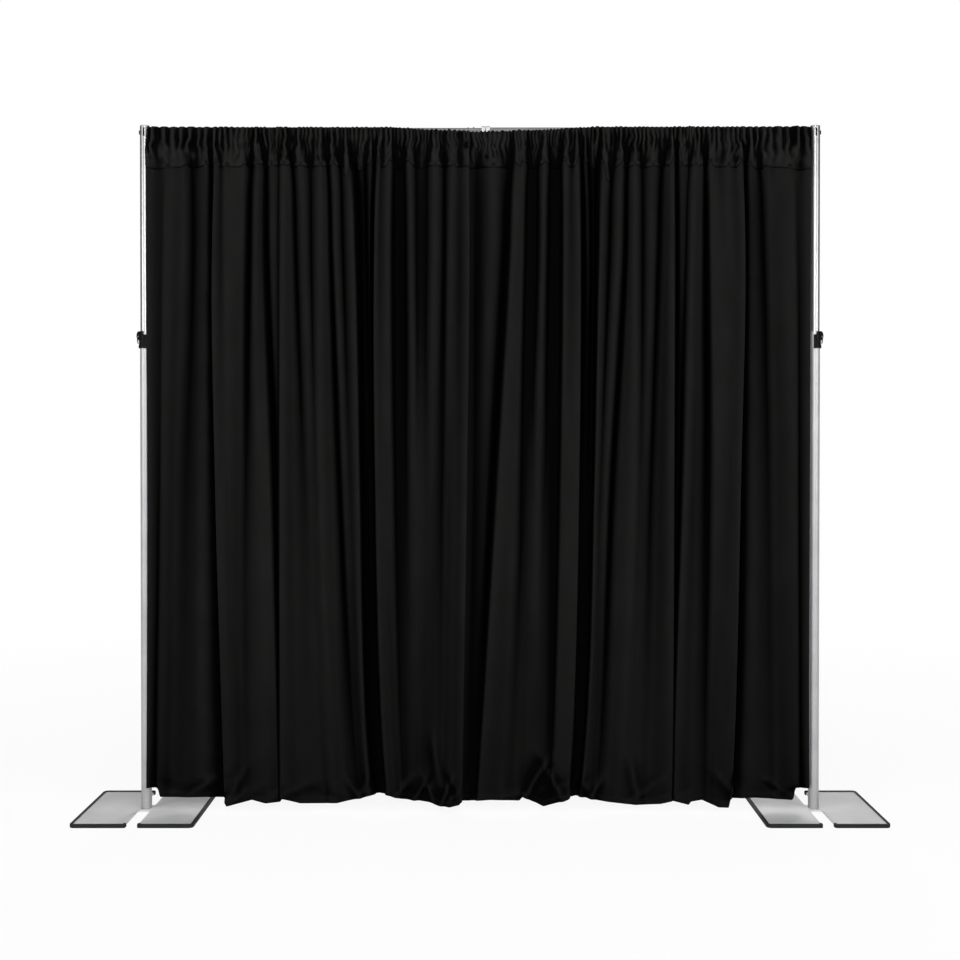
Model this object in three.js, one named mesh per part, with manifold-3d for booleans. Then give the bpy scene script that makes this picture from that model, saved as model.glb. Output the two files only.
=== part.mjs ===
// Pipe and drape backdrop: two weighted bases, two telescopic uprights, a telescopic crossbar
// that hooks into slots in the uprights, and four gathered drape panels on the crossbar.
// Millimetres, +Z up. The origin is on the floor midway between the uprights, and the front faces -Y.

import * as THREE from "three";
import { mergeVertices } from "three/addons/utils/BufferGeometryUtils.js";
import Module from "manifold-3d";

const wasm = await Module();
wasm.setup();

// Whole frame
const uprightSpacing = 2438.4; // centre to centre
const seatGap = 0.3; // between pieces that rest on each other
const cutOverrun = 5; // how far a cutting tool runs past what it cuts

// Base plate and its rubber edge trim
const plateSize = 428;
const plateThickness = 6.35;
const plateCornerRadius = 14;
const notchWidth = 47;
const notchEndRadius = 9;
const notchMouthRadius = 5;
const bridgeDepth = 64; // metal left between the two notches
const trimWall = 3.2;
const trimLip = 10; // how far the trim reaches over the plate, from its outer face
const trimSole = 3; // rubber above and below the plate
const trimTurn = 16; // how far the trim turns into a notch

// Base pin and the screw that holds it
const pinRadius = 16.5;
const pinHeight = 76;
const pinChamfer = 4;
const pinBoreRadius = 4.4;
const screwRadius = 4;
const screwLength = 40;
const screwHeadRadius = 8.6;
const screwHeadHeight = 4.6;
const screwSocketRadius = 3;
const screwSocketDepth = 2.4;
const screwSocketSides = 6;

// Upright tubes
const lowerTubeRadius = 19.05;
const lowerTubeWall = 1.25;
const lowerTubeTop = 1700; // above the floor
const upperTubeRadius = 17.45;
const upperTubeWall = 1.25;
const upperTubeTop = 2494.5;
const tubeOverlap = 250; // how far the upper tube stays inside the lower one
const headLength = 54.5; // slotted end of the upper tube
const slotWidth = 6;
const slotEndRadius = 3.7; // the drilled ends are a little wider than the slot
const slotHeight = 31;
const slotInset = 6.5; // below the tube's end
const capRise = 2.5;
const capSide = 1.75; // straight part of the cap's rim, below its bevel
const capEase = 0.75;
const capInsert = 5;
const bushFlange = 4;
const bushInsert = 15;
const bushWall = 3;
const slidingGap = 0.25; // guide bush to lower tube

// Clutch at the joint of the two tubes
const clutchSeat = 12; // how far the clutch grips the lower tube
const clutchHeight = 62;
const clutchSplit = 2.5; // the two halves meet this far inward of the tube's axis
const collarRadius = 22;
const shellRadius = 22.8;
const shellFootRadius = 24.2;
const shellFootHeight = 14;
const clutchEdge = 1.25; // bevel of the clutch's rims
const shellShoulder = 12; // front edge of the shell lies this far below its hood
const hoodStart = 9; // the hood begins this far outward of the axis
const windowSill = 34; // above the clutch's bottom
const windowHeight = 13.5;
const windowWidth = 10;
const slitWidth = 3.6;
const mullionWidth = 1.6;
const earGap = 12.4; // between the two ears
const earThickness = 4.4;
const earReach = 5.2; // round the lever pin
const earDrop = 13.5; // the ears end this far below the pin
const camSpaceDrop = 9.8; // the space for the cam ends this far below the pin
const leverPinRadius = 1.6;
const leverPinRise = 43; // above the clutch's bottom
const camRadius = 3.8;
const camThrow = 0.6;
const padThickness = 2.4;
const padHeight = 14;
const leverLength = 26;
const leverReach = 4.6;
const setScrewRadius = 2;
const setScrewHeadRadius = 3.6;
const setScrewCrownRadius = 3.2;
const setScrewHeadHeight = 1.6;
const setScrewRise = 6;

// Crossbar
const barRise = 18; // axis above the bottom of the slots
const innerBarRadius = 14.3;
const innerBarWall = 1.65;
const outerBarRadius = 15.875;
const outerBarWall = 1.25;
const barStandoff = 29; // tube end to the upright's axis
const barOverlap = 780; // how far the inner tube runs inside the outer one
const collarStart = 5.5; // left face of the twist lock, from the middle of the frame
const lockRingWidth = 14.8;
const collarSlit = 1.4;
const ferruleWidth = 14.8;
const ferruleRadius = 20.5;
const ferruleEdge = 2;
const gripWall = 2.4;
const lockLip = 2;

// Crossbar end: plug, hook and cross pin
const plugLength = 36;
const plugFlange = 2.5;
const tangHeight = 14;
const tangLength = 30;
const bladeThickness = 4.6;
const bladeHeight = 23.7; // above the bottom of the slot
const hookShoulderDrop = 7; // below the bottom of the slot, outside the tube
const hookNotchWidth = 3;
const hookTailDrop = 5; // below the bottom of the slot, inside the tube
const hookTailEnd = 8; // inward of the upright's axis
const noseRise = 8; // above the bottom of the slot
const noseReach = 4.2; // past the far side of the upright
const noseRadius = 4;
const crossPinRadius = 2.2;
const crossPinHeadRadius = 3.6;
const crossPinCrownRadius = 2.9;
const crossPinHeadHeight = 1.3;
const crossPinInset = 20; // from the tube's end

// Spring button of the inner tube
const buttonPlace = 28.5; // left of the twist lock
const buttonRadius = 2.8;
const buttonRise = 3.5;
const buttonDome = 1.4;
const buttonCrownRadius = 2;
const buttonCrownDrop = 0.35;
const buttonFlangeRadius = 4.2;
const buttonFlangeHeight = 1.2;
const leafWidth = 8;
const leafThickness = 0.8;
const leafTail = 5;
const leafDrop = 1.5;
const rivetSpacing = 20; // rivet to button
const leafRivetRadius = 1.6;
const leafRivetHeadRadius = 3;
const leafRivetHeadHeight = 1.6;
const leafRivetCrownRadius = 2.1;

// Drapes
const clothThickness = 1.5;
const drapeInset = 30; // panel edge to the upright's axis
const panelGap = 2;
const pocketDepth = 150; // stitch line below the top of the bar
const pocketHalf = 21.8; // half of the pocket's width, front to back, at the bar
const pocketFloor = 7; // the pocket's inside ends this far above the stitch line
const pocketTurn = 3; // how soon the pocket's cloth turns from the top to the sides
const pocketCrown = 8; // how sharply it lies over the top of the bar
const foldDepth = 30; // of the hanging folds, to each side of the bar's plane
const gatherDepth = 5;
const foldGrowth = 320; // folds reach their full depth this far below the stitch line
const foldPitch = 96; // mean width of a hanging fold
const foldColumns = 4.2; // columns of points across a fold
const foldDrift = 0.22; // how far, in folds, the folds stray from an even pitch
const foldDriftRate = 1.7;
const foldUnevenness = 0.25; // share by which the folds' depths differ
const foldUnevenRate = 2.3;
const hemHeight = 27; // above the floor
const hemDrop = 11; // the deepest part of the hem hangs this much lower
const panelEdgeShares = [0, 0.19, 0.48, 0.818, 1]; // where the panels meet, of the draped width
const hemShares = [
  -1.6, 0.2, 1, -0.2, 0.8, -0.4, 0.6, -0.9, -0.1, 0.9, 0.4,
  -0.2, 0.7, -1, 0.3, 0.9, 0.5, -0.2, 1, -0.3, -1.6,
];
const topSlitShares = [[0.355, 0.04], [0.42, 0.6], [0.5, 1], [0.6, 0.62], [0.682, 0.04]];
const topSlitDepth = 18; // the front of the pocket sags this far at the middle

// Counts
const roundSteps = 24;
const smallSteps = 12;
const cornerSteps = 3;
const tailRows = 4;
const pocketShares = [[0, 0], [-0.45, 0.4], [-1, 0.89], [-0.866, 0.947], [-0.5, 0.987], [0, 1]];

// Derived levels and places
const plateBottom = trimSole + seatGap;
const plateTop = plateBottom + plateThickness;
const pinBottom = plateTop + seatGap;
const lowerTubeBore = lowerTubeRadius - lowerTubeWall;
const upperTubeBore = upperTubeRadius - upperTubeWall;
const upperTubeBottom = lowerTubeTop - tubeOverlap;
const headBottom = upperTubeTop - headLength;
const slotTop = upperTubeTop - slotInset;
const slotBottom = slotTop - slotHeight;
const clutchBottom = lowerTubeTop - clutchSeat;
const clutchTop = clutchBottom + clutchHeight;
const clutchBoreLow = lowerTubeRadius + seatGap;
const clutchBoreHigh = upperTubeRadius + seatGap;
const leverPinHeight = clutchBottom + leverPinRise;
const leverPinPlace = clutchBoreHigh + padThickness + seatGap + camRadius + camThrow;
const halfSpan = uprightSpacing / 2;
const barHeight = slotBottom + barRise;
const barEnd = halfSpan - barStandoff;
const ferruleStart = collarStart + lockRingWidth + collarSlit;
const outerBarStart = ferruleStart + seatGap;
const innerBarEnd = outerBarStart + barOverlap;
const innerBarBore = innerBarRadius - innerBarWall;
const outerBarBore = outerBarRadius - outerBarWall;
const barTop = barHeight + outerBarRadius;

// Finishes
const finishes = {
  plateSteel: { color: 0xb4b4b6, roughness: 0.42, metalness: 0.85 },
  tubeMetal: { color: 0xd2d3d5, roughness: 0.28, metalness: 0.9 },
  castMetal: { color: 0xc2c3c6, roughness: 0.36, metalness: 0.85 },
  hardware: { color: 0x9b9ca0, roughness: 0.35, metalness: 0.9 },
  blackPlastic: { color: 0x161617, roughness: 0.45, metalness: 0 },
  blackSteel: { color: 0x1b1b1d, roughness: 0.5, metalness: 0.5 },
  blackRubber: { color: 0x1a1a1a, roughness: 0.8, metalness: 0 },
  blackCloth: { color: 0x141416, roughness: 0.85, metalness: 0 },
};

function mesh(name, finish, geometry) {
  const piece = new THREE.Mesh(geometry, new THREE.MeshStandardMaterial(finishes[finish]));
  piece.name = name;
  return piece;
}

// A closed mesh as a solid that can be cut and joined
function solid(geometry) {
  const bare = geometry.clone();
  bare.deleteAttribute("normal");
  bare.deleteAttribute("uv");
  const merged = mergeVertices(bare);
  const corners = merged.getIndex().array;
  const kept = [];
  for (let i = 0; i < corners.length; i += 3) {
    const [a, b, c] = [corners[i], corners[i + 1], corners[i + 2]];
    if (a !== b && b !== c && c !== a) kept.push(a, b, c);
  }
  return new wasm.Manifold(new wasm.Mesh({
    numProp: 3,
    vertProperties: new Float32Array(merged.getAttribute("position").array),
    triVerts: new Uint32Array(kept),
  }));
}

function geometryOf(shape) {
  const { numProp, vertProperties, triVerts } = shape.getMesh();
  const geometry = new THREE.BufferGeometry();
  const places = new Float32Array((vertProperties.length / numProp) * 3);
  for (let i = 0; i < places.length / 3; i += 1) {
    places.set(vertProperties.slice(i * numProp, i * numProp + 3), i * 3);
  }
  geometry.setAttribute("position", new THREE.BufferAttribute(places, 3));
  geometry.setIndex(new THREE.BufferAttribute(new Uint32Array(triVerts), 1));
  geometry.computeVertexNormals();
  return geometry;
}

function cut(body, ...tools) {
  return geometryOf(tools.reduce((rest, tool) => rest.subtract(solid(tool)), solid(body)));
}

function joined(...parts) {
  return geometryOf(parts.slice(1).reduce((sum, part) => sum.add(solid(part)), solid(parts[0])));
}

// Turned piece about the Z axis from [radius, height] points, listed up the outside and down the inside
function turned(points, steps = roundSteps) {
  const profile = points.map(([radius, height]) => new THREE.Vector2(radius, height));
  profile.push(profile[0].clone());
  return new THREE.LatheGeometry(profile, steps).rotateX(Math.PI / 2);
}

function tube(bore, radius, bottom, top, steps = roundSteps) {
  return turned([[bore, bottom], [radius, bottom], [radius, top], [bore, top]], steps);
}

function rod(radius, bottom, top, steps = smallSteps) {
  const height = top - bottom;
  const rounded = new THREE.CylinderGeometry(radius, radius, height, steps).rotateX(Math.PI / 2);
  return rounded.translate(0, 0, bottom + height / 2);
}

function block(x0, x1, y0, y1, z0, z1) {
  const box = new THREE.BoxGeometry(x1 - x0, y1 - y0, z1 - z0);
  return box.translate((x0 + x1) / 2, (y0 + y1) / 2, (z0 + z1) / 2);
}

// Outline with square corners, each [x, y, radius] rounded by its radius
function roundedOutline(corners) {
  const points = [];
  corners.forEach(([x, y, radius], i) => {
    const corner = new THREE.Vector2(x, y);
    const before = corners.at(i - 1);
    const after = corners[(i + 1) % corners.length];
    const toBefore = new THREE.Vector2(before[0], before[1]).sub(corner).setLength(radius);
    const toAfter = new THREE.Vector2(after[0], after[1]).sub(corner).setLength(radius);
    const centre = corner.clone().add(toBefore).add(toAfter);
    const steps = radius > 0 ? cornerSteps : 0;
    for (let k = 0; k <= steps; k += 1) {
      const angle = steps ? (k / steps) * (Math.PI / 2) : 0;
      const point = centre.clone().addScaledVector(toAfter, -Math.cos(angle));
      points.push(point.addScaledVector(toBefore, -Math.sin(angle)));
    }
  });
  return new THREE.Shape(points);
}

function slab(shape, bottom, top) {
  const plate = new THREE.ExtrudeGeometry(shape, { depth: top - bottom, bevelEnabled: false });
  return plate.translate(0, 0, bottom);
}

// A shape drawn in X and Z, given a width across Y
function across(shape, width, steps = cornerSteps) {
  const options = { depth: width, bevelEnabled: false, curveSegments: steps };
  return new THREE.ExtrudeGeometry(shape, options).translate(0, 0, -width / 2).rotateX(Math.PI / 2);
}

function alongX(geometry) {
  return geometry.rotateY(Math.PI / 2);
}

// Base plate, its trim, the pin and the pin's screw

function plateOutline(clearance) {
  const half = plateSize / 2 + clearance;
  const notchHalf = notchWidth / 2 - clearance;
  const notchEnd = bridgeDepth / 2 + clearance;
  const corner = plateCornerRadius + clearance;
  const mouth = notchMouthRadius + clearance;
  const end = notchEndRadius - clearance;
  return roundedOutline([
    [-half, -half, corner], [-notchHalf, -half, mouth], [-notchHalf, -notchEnd, end],
    [notchHalf, -notchEnd, end], [notchHalf, -half, mouth], [half, -half, corner],
    [half, half, corner], [notchHalf, half, mouth], [notchHalf, notchEnd, end],
    [-notchHalf, notchEnd, end], [-notchHalf, half, mouth], [-half, half, corner],
  ]);
}

function screwShape(clearance) {
  const bottom = plateBottom + seatGap;
  return turned([
    [0, bottom - clearance], [screwHeadRadius + clearance, bottom - clearance],
    [screwHeadRadius + clearance, bottom + clearance],
    [screwRadius + clearance, bottom + screwHeadHeight + clearance],
    [screwRadius + clearance, bottom + screwLength + clearance], [0, bottom + screwLength + clearance],
  ], smallSteps);
}

function basePlate() {
  return cut(slab(plateOutline(0), plateBottom, plateTop), screwShape(seatGap));
}

// One trim strip wraps the outer edges of one half of the plate
function trimStrip() {
  const half = plateSize / 2;
  const outward = trimWall + seatGap;
  const inward = trimLip - outward;
  const ring = (offset) => roundedOutline([
    [notchWidth / 2 - offset, -half - offset, notchMouthRadius + Math.max(offset, 0)],
    [half + offset, -half - offset, plateCornerRadius + offset],
    [half + offset, half + offset, plateCornerRadius + offset],
    [notchWidth / 2 - offset, half + offset, notchMouthRadius + Math.max(offset, 0)],
  ]);
  const height = plateTop + seatGap + trimSole;
  const endPlace = half - trimTurn;
  return cut(
    slab(ring(outward), 0, height),
    slab(ring(-inward), -cutOverrun, height + cutOverrun),
    slab(plateOutline(seatGap), plateBottom - seatGap, plateTop + seatGap),
    block(0, half / 2, -endPlace, endPlace, -cutOverrun, height + cutOverrun),
  );
}

function basePin() {
  return turned([
    [pinBoreRadius, pinBottom], [pinRadius, pinBottom], [pinRadius, pinBottom + pinHeight - pinChamfer],
    [pinRadius - pinChamfer, pinBottom + pinHeight], [pinBoreRadius, pinBottom + pinHeight],
  ]);
}

function pinScrew() {
  const bottom = plateBottom + seatGap;
  const socket = rod(screwSocketRadius, bottom - cutOverrun, bottom + screwSocketDepth, screwSocketSides);
  return cut(screwShape(0), socket);
}

// Upright tubes

function slotTool() {
  const half = slotWidth / 2;
  const ends = [slotBottom + slotEndRadius, slotTop - slotEndRadius];
  const width = 2 * (upperTubeRadius + cutOverrun);
  const middle = block(-half, half, -width / 2, width / 2, ends[0], ends[1]);
  const drilled = ends.map((height) => {
    const hole = new THREE.CylinderGeometry(slotEndRadius, slotEndRadius, width, smallSteps);
    return hole.translate(0, 0, height);
  });
  return joined(middle, ...drilled);
}

function slottedHead() {
  const body = tube(upperTubeBore, upperTubeRadius, headBottom + seatGap, upperTubeTop);
  return cut(body, slotTool(), slotTool().rotateZ(Math.PI / 2));
}

function lowerTube() {
  const body = tube(lowerTubeBore, lowerTubeRadius, plateTop + seatGap, lowerTubeTop);
  return cut(body, setScrewTool(setScrewRadius + seatGap, collarRadius));
}

function topCap() {
  const insertRadius = upperTubeBore - seatGap;
  const seat = upperTubeTop + seatGap;
  return turned([
    [0, upperTubeTop - capInsert], [insertRadius, upperTubeTop - capInsert], [insertRadius, seat],
    [upperTubeRadius, seat], [upperTubeRadius - capEase, seat + capSide],
    [upperTubeRadius - capRise, seat + capRise], [0, seat + capRise],
  ]);
}

// Plastic guide at the foot of the upper tube
function guideBush() {
  const insert = upperTubeBore - seatGap;
  const flange = lowerTubeBore - slidingGap;
  const seat = upperTubeBottom - seatGap;
  return turned([
    [insert - bushWall, seat - bushFlange], [flange, seat - bushFlange], [flange, seat],
    [insert, seat], [insert, seat + bushInsert], [insert - bushWall, seat + bushInsert],
  ]);
}

// Clutch, drawn for the right upright with the lever on its outer side

function clutchRing(radius, footRadius) {
  const step = lowerTubeTop + seatGap;
  const foot = clutchBottom + shellFootHeight;
  const edge = clutchEdge;
  return turned([
    [clutchBoreLow, clutchBottom], [footRadius - edge, clutchBottom], [footRadius, clutchBottom + edge],
    [footRadius, foot - edge], [radius, foot], [radius, clutchTop - edge],
    [radius - edge, clutchTop], [clutchBoreHigh, clutchTop], [clutchBoreHigh, step],
    [clutchBoreLow, step],
  ]);
}

function setScrewTool(radius, reach) {
  const along = rod(radius, lowerTubeBore - cutOverrun / 2, reach + cutOverrun).rotateY(-Math.PI / 2);
  return along.translate(0, 0, clutchBottom + setScrewRise);
}

function clutchCollar() {
  const far = shellFootRadius + cutOverrun;
  const low = clutchBottom - cutOverrun;
  const high = clutchTop + cutOverrun;
  const outerSide = block(-clutchSplit - seatGap / 2, far, -far, far, low, high);
  const screwHole = setScrewTool(setScrewRadius + seatGap, collarRadius);
  return cut(clutchRing(collarRadius, collarRadius), outerSide, screwHole);
}

function earOutline() {
  const hub = leverPinPlace + earReach;
  const top = clutchTop;
  const low = leverPinHeight - earDrop;
  const shape = new THREE.Shape();
  shape.moveTo(collarRadius - earThickness, top);
  shape.lineTo(leverPinPlace - earReach / 2, top);
  shape.quadraticCurveTo(hub, top - earReach / 2, hub, leverPinHeight);
  shape.quadraticCurveTo(hub, leverPinHeight - earReach, shellRadius, low);
  shape.lineTo(collarRadius - earThickness, low);
  return shape;
}

function clutchShell() {
  const far = shellFootRadius + cutOverrun;
  const low = clutchBottom - cutOverrun;
  const high = clutchTop + cutOverrun;
  const innerSide = block(-far, -clutchSplit + seatGap / 2, -far, far, low, high);
  const shoulder = block(-far, hoodStart, -far, far, clutchTop - shellShoulder, high);
  const sill = clutchBottom + windowSill;
  const windowEnd = windowWidth - clutchSplit;
  const slitStart = windowEnd + mullionWidth;
  const windowCut = block(-clutchSplit / 2, windowEnd, -far, far, sill, sill + windowHeight);
  const slitCut = block(slitStart, slitStart + slitWidth, -far, far, sill, sill + windowHeight);
  const earEnd = leverPinPlace + earReach + cutOverrun;
  const camCut = block(0, earEnd, -earGap / 2, earGap / 2, leverPinHeight - camSpaceDrop, high);
  const ears = [-1, 1].map((side) => {
    const ear = across(earOutline(), earThickness);
    return ear.translate(0, (side * (earGap + earThickness)) / 2, 0);
  });
  const bore = rod(clutchBoreHigh, lowerTubeTop, high, roundSteps);
  const pinHole = leverPinRod(leverPinRadius + seatGap, cutOverrun);
  const whole = joined(clutchRing(shellRadius, shellFootRadius), ...ears);
  return cut(whole, innerSide, shoulder, windowCut, slitCut, camCut, bore, pinHole);
}

function leverPinRod(radius, overrun) {
  const half = earGap / 2 + earThickness + overrun;
  const pin = rod(radius, -half, half).rotateX(Math.PI / 2);
  return pin.translate(leverPinPlace, 0, leverPinHeight);
}

function clutchPad() {
  const half = earGap / 2 - seatGap;
  const face = clutchBoreHigh + padThickness;
  const low = leverPinHeight - padHeight / 2;
  const shoe = block(face - 2 * padThickness, face, -half, half, low, low + padHeight);
  return cut(shoe, rod(clutchBoreHigh, low - cutOverrun, low + padHeight + cutOverrun, roundSteps));
}

// The lever's outline from its pin: the outer edge down to the tip, then the inner edge back up
const leverTopShares = [-0.3, 0.1];
const leverOuterShares = [[0.3, 0.115], [0.8, 0.04], [1, -0.2], [0.95, -0.6], [0.5, -1]];
const leverInnerShares = [[0.2, -0.97], [0.3, -0.6], [0.1, -0.25], [-0.3, -0.1]];

function clutchLever() {
  const place = ([x, z]) => new THREE.Vector2(x * leverReach, z * leverLength);
  const arm = new THREE.Shape();
  arm.moveTo(...place(leverTopShares).toArray());
  arm.splineThru(leverOuterShares.map(place));
  arm.lineTo(...place(leverInnerShares[0]).toArray());
  arm.splineThru(leverInnerShares.slice(1).map(place));
  const width = earGap - 2 * seatGap;
  const cam = rod(camRadius, -width / 2, width / 2).rotateX(Math.PI / 2).translate(-camThrow, 0, 0);
  const hole = rod(leverPinRadius + seatGap, -width, width).rotateX(Math.PI / 2);
  return cut(joined(across(arm, width), cam), hole);
}

function setScrew() {
  const seat = collarRadius + seatGap;
  const screw = turned([
    [0, lowerTubeBore + seatGap], [setScrewRadius, lowerTubeBore + seatGap], [setScrewRadius, seat],
    [setScrewHeadRadius, seat], [setScrewCrownRadius, seat + setScrewHeadHeight],
    [0, seat + setScrewHeadHeight],
  ], smallSteps);
  return screw.rotateY(-Math.PI / 2).translate(0, 0, clutchBottom + setScrewRise);
}

// One base and upright; the left one is turned half round, so that its lever also faces outward
function standOf(side) {
  const stand = new THREE.Group();
  stand.position.x = side === "left" ? -halfSpan : halfSpan;
  stand.rotation.z = side === "left" ? Math.PI : 0;
  const add = (name, finish, geometry) => {
    const piece = mesh(`${side}_${name}`, finish, geometry);
    stand.add(piece);
    return piece;
  };
  add("base_plate", "plateSteel", basePlate());
  add("base_trim_outer", "blackRubber", trimStrip());
  add("base_trim_inner", "blackRubber", trimStrip()).rotation.z = Math.PI;
  add("base_pin", "hardware", basePin());
  add("base_pin_screw", "hardware", pinScrew());
  add("lower_tube", "tubeMetal", lowerTube());
  add("upper_tube", "tubeMetal", tube(upperTubeBore, upperTubeRadius, upperTubeBottom, headBottom));
  add("slotted_head", "tubeMetal", slottedHead());
  add("top_cap", "castMetal", topCap());
  add("guide_bush", "blackPlastic", guideBush());
  add("clutch_collar", "castMetal", clutchCollar());
  add("clutch_shell", "blackPlastic", clutchShell());
  add("clutch_pad", "blackPlastic", clutchPad());
  add("clutch_pin", "hardware", leverPinRod(leverPinRadius, seatGap));
  add("clutch_screw", "hardware", setScrew());
  const lever = add("clutch_lever", "blackPlastic", clutchLever());
  lever.position.set(leverPinPlace, 0, leverPinHeight);
  return stand;
}

// Crossbar, drawn along X with its axis at the bar's height

function crossPinTool(radius, overrun) {
  const half = outerBarRadius + overrun;
  const pin = rod(radius, -half, half).rotateX(Math.PI / 2);
  return pin.translate(barEnd - crossPinInset, 0, 0);
}

function innerTube() {
  const long = alongX(tube(innerBarBore, innerBarRadius, -barEnd, innerBarEnd));
  const hole = crossPinTool(crossPinRadius + seatGap, cutOverrun).rotateZ(Math.PI);
  const buttonHole = rod(buttonRadius + seatGap, 0, innerBarRadius + cutOverrun);
  const rivetHole = rod(leafRivetRadius + seatGap, 0, innerBarRadius + cutOverrun);
  buttonHole.translate(buttonX, 0, 0);
  rivetHole.translate(buttonX - rivetSpacing, 0, 0);
  return cut(long, hole, buttonHole, rivetHole);
}

function outerTube() {
  const long = alongX(tube(outerBarBore, outerBarRadius, outerBarStart, barEnd));
  return cut(long, crossPinTool(crossPinRadius + seatGap, cutOverrun));
}

// Plug at a tube's end, drawn for the right end
function endPlug(bore, radius) {
  const insert = bore - seatGap;
  const seat = barEnd + seatGap;
  const body = alongX(turned([
    [0, barEnd - plugLength], [insert, barEnd - plugLength], [insert, seat], [radius, seat],
    [radius, seat + plugFlange], [0, seat + plugFlange],
  ]));
  const half = bladeThickness / 2 + seatGap;
  const tall = tangHeight / 2 + seatGap;
  const start = barEnd - tangLength - seatGap;
  const slot = block(start, barEnd + plugFlange + cutOverrun, -half, half, -tall, tall);
  return cut(body, slot, crossPinTool(crossPinRadius + seatGap, cutOverrun));
}

function endHook() {
  const wall = halfSpan - upperTubeRadius;
  const notchStart = wall - (hookNotchWidth - upperTubeWall) / 2;
  const bladeStart = barEnd + plugFlange + 2 * seatGap;
  const nose = halfSpan + upperTubeRadius + noseReach;
  const noseBottom = slotBottom + noseRise;
  const bladeTop = slotBottom + bladeHeight;
  const hookShoulder = slotBottom - hookShoulderDrop;
  const hookTail = slotBottom - hookTailDrop;
  const slotRise = slotEndRadius - Math.sqrt(slotEndRadius ** 2 - (bladeThickness / 2) ** 2);
  const roof = slotBottom + slotRise + seatGap;
  const shape = new THREE.Shape();
  shape.moveTo(barEnd - tangLength, barHeight - tangHeight / 2);
  shape.lineTo(bladeStart, barHeight - tangHeight / 2);
  shape.lineTo(bladeStart, hookShoulder);
  shape.lineTo(notchStart, hookShoulder);
  shape.lineTo(notchStart, roof);
  shape.lineTo(notchStart + hookNotchWidth, roof);
  shape.lineTo(notchStart + hookNotchWidth, hookTail);
  shape.lineTo(halfSpan - hookTailEnd, hookTail);
  shape.quadraticCurveTo(halfSpan, noseBottom, halfSpan + hookTailEnd, noseBottom);
  shape.lineTo(nose - noseRadius, noseBottom);
  shape.quadraticCurveTo(nose, noseBottom, nose, noseBottom + noseRadius);
  shape.lineTo(nose, bladeTop - noseRadius);
  shape.quadraticCurveTo(nose, bladeTop, nose - noseRadius, bladeTop);
  shape.lineTo(bladeStart, bladeTop);
  shape.lineTo(bladeStart, barHeight + tangHeight / 2 - seatGap);
  shape.lineTo(barEnd - tangLength, barHeight + tangHeight / 2 - seatGap);
  const blade = across(shape, bladeThickness).translate(0, 0, -barHeight);
  return cut(blade, crossPinTool(crossPinRadius + seatGap, cutOverrun));
}

function crossPin(radius) {
  const seat = radius + seatGap;
  const head = seat + crossPinHeadHeight;
  const pin = turned([
    [0, -head], [crossPinCrownRadius, -head], [crossPinHeadRadius, -seat], [crossPinRadius, -seat],
    [crossPinRadius, seat], [crossPinHeadRadius, seat], [crossPinCrownRadius, head], [0, head],
  ], smallSteps);
  return pin.rotateX(Math.PI / 2).translate(barEnd - crossPinInset, 0, 0);
}

function ferrule() {
  const end = ferruleStart + ferruleWidth;
  const bore = outerBarRadius + seatGap;
  return alongX(turned([
    [bore, ferruleStart], [ferruleRadius, ferruleStart], [ferruleRadius, end - ferruleEdge],
    [ferruleRadius - ferruleEdge, end], [bore, end],
  ]));
}

function lockRing() {
  const end = collarStart + lockRingWidth;
  const lip = innerBarRadius + seatGap;
  const bore = lip + gripWall + seatGap;
  return alongX(turned([
    [lip, collarStart], [ferruleRadius - ferruleEdge, collarStart],
    [ferruleRadius, collarStart + ferruleEdge], [ferruleRadius, end], [bore, end],
    [bore, collarStart + lockLip], [lip, collarStart + lockLip],
  ]));
}

function gripBush() {
  const start = collarStart + lockLip + seatGap;
  const bore = innerBarRadius + seatGap;
  return alongX(tube(bore, bore + gripWall, start, ferruleStart));
}

const buttonX = collarStart - buttonPlace;
const leafTop = Math.sqrt(innerBarBore ** 2 - (leafWidth / 2) ** 2) - seatGap;
const flangeTop = leafTop - seatGap;

function snapButton() {
  const crown = innerBarRadius + buttonRise;
  const button = turned([
    [0, flangeTop - buttonFlangeHeight], [buttonFlangeRadius, flangeTop - buttonFlangeHeight],
    [buttonFlangeRadius, flangeTop], [buttonRadius, flangeTop], [buttonRadius, crown - buttonDome],
    [buttonCrownRadius, crown - buttonCrownDrop], [0, crown],
  ], smallSteps);
  return button.translate(buttonX, 0, 0);
}

function leafSpring() {
  const start = buttonX - rivetSpacing - leafTail;
  const knee = buttonX - rivetSpacing + leafTail;
  const end = buttonX + leafTail;
  const low = flangeTop - buttonFlangeHeight - seatGap;
  const high = low + leafDrop;
  const shape = new THREE.Shape();
  shape.moveTo(start, high - leafThickness);
  shape.lineTo(knee, high - leafThickness);
  shape.lineTo(buttonX - leafTail, low - leafThickness);
  shape.lineTo(end, low - leafThickness);
  shape.lineTo(end, low);
  shape.lineTo(buttonX - leafTail, low);
  shape.lineTo(knee, high);
  shape.lineTo(start, high);
  const hole = rod(leafRivetRadius + seatGap, 0, innerBarRadius).translate(buttonX - rivetSpacing, 0, 0);
  return cut(across(shape, leafWidth), hole);
}

function leafRivet() {
  const low = flangeTop - buttonFlangeHeight - seatGap + leafDrop - leafThickness - seatGap;
  const seat = innerBarRadius + seatGap;
  const rivet = turned([
    [0, low - leafRivetHeadHeight], [leafRivetHeadRadius, low - leafRivetHeadHeight],
    [leafRivetHeadRadius, low], [leafRivetRadius, low], [leafRivetRadius, seat],
    [leafRivetHeadRadius, seat], [leafRivetCrownRadius, seat + leafRivetHeadHeight],
    [0, seat + leafRivetHeadHeight],
  ], smallSteps);
  return rivet.translate(buttonX - rivetSpacing, 0, 0);
}

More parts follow.
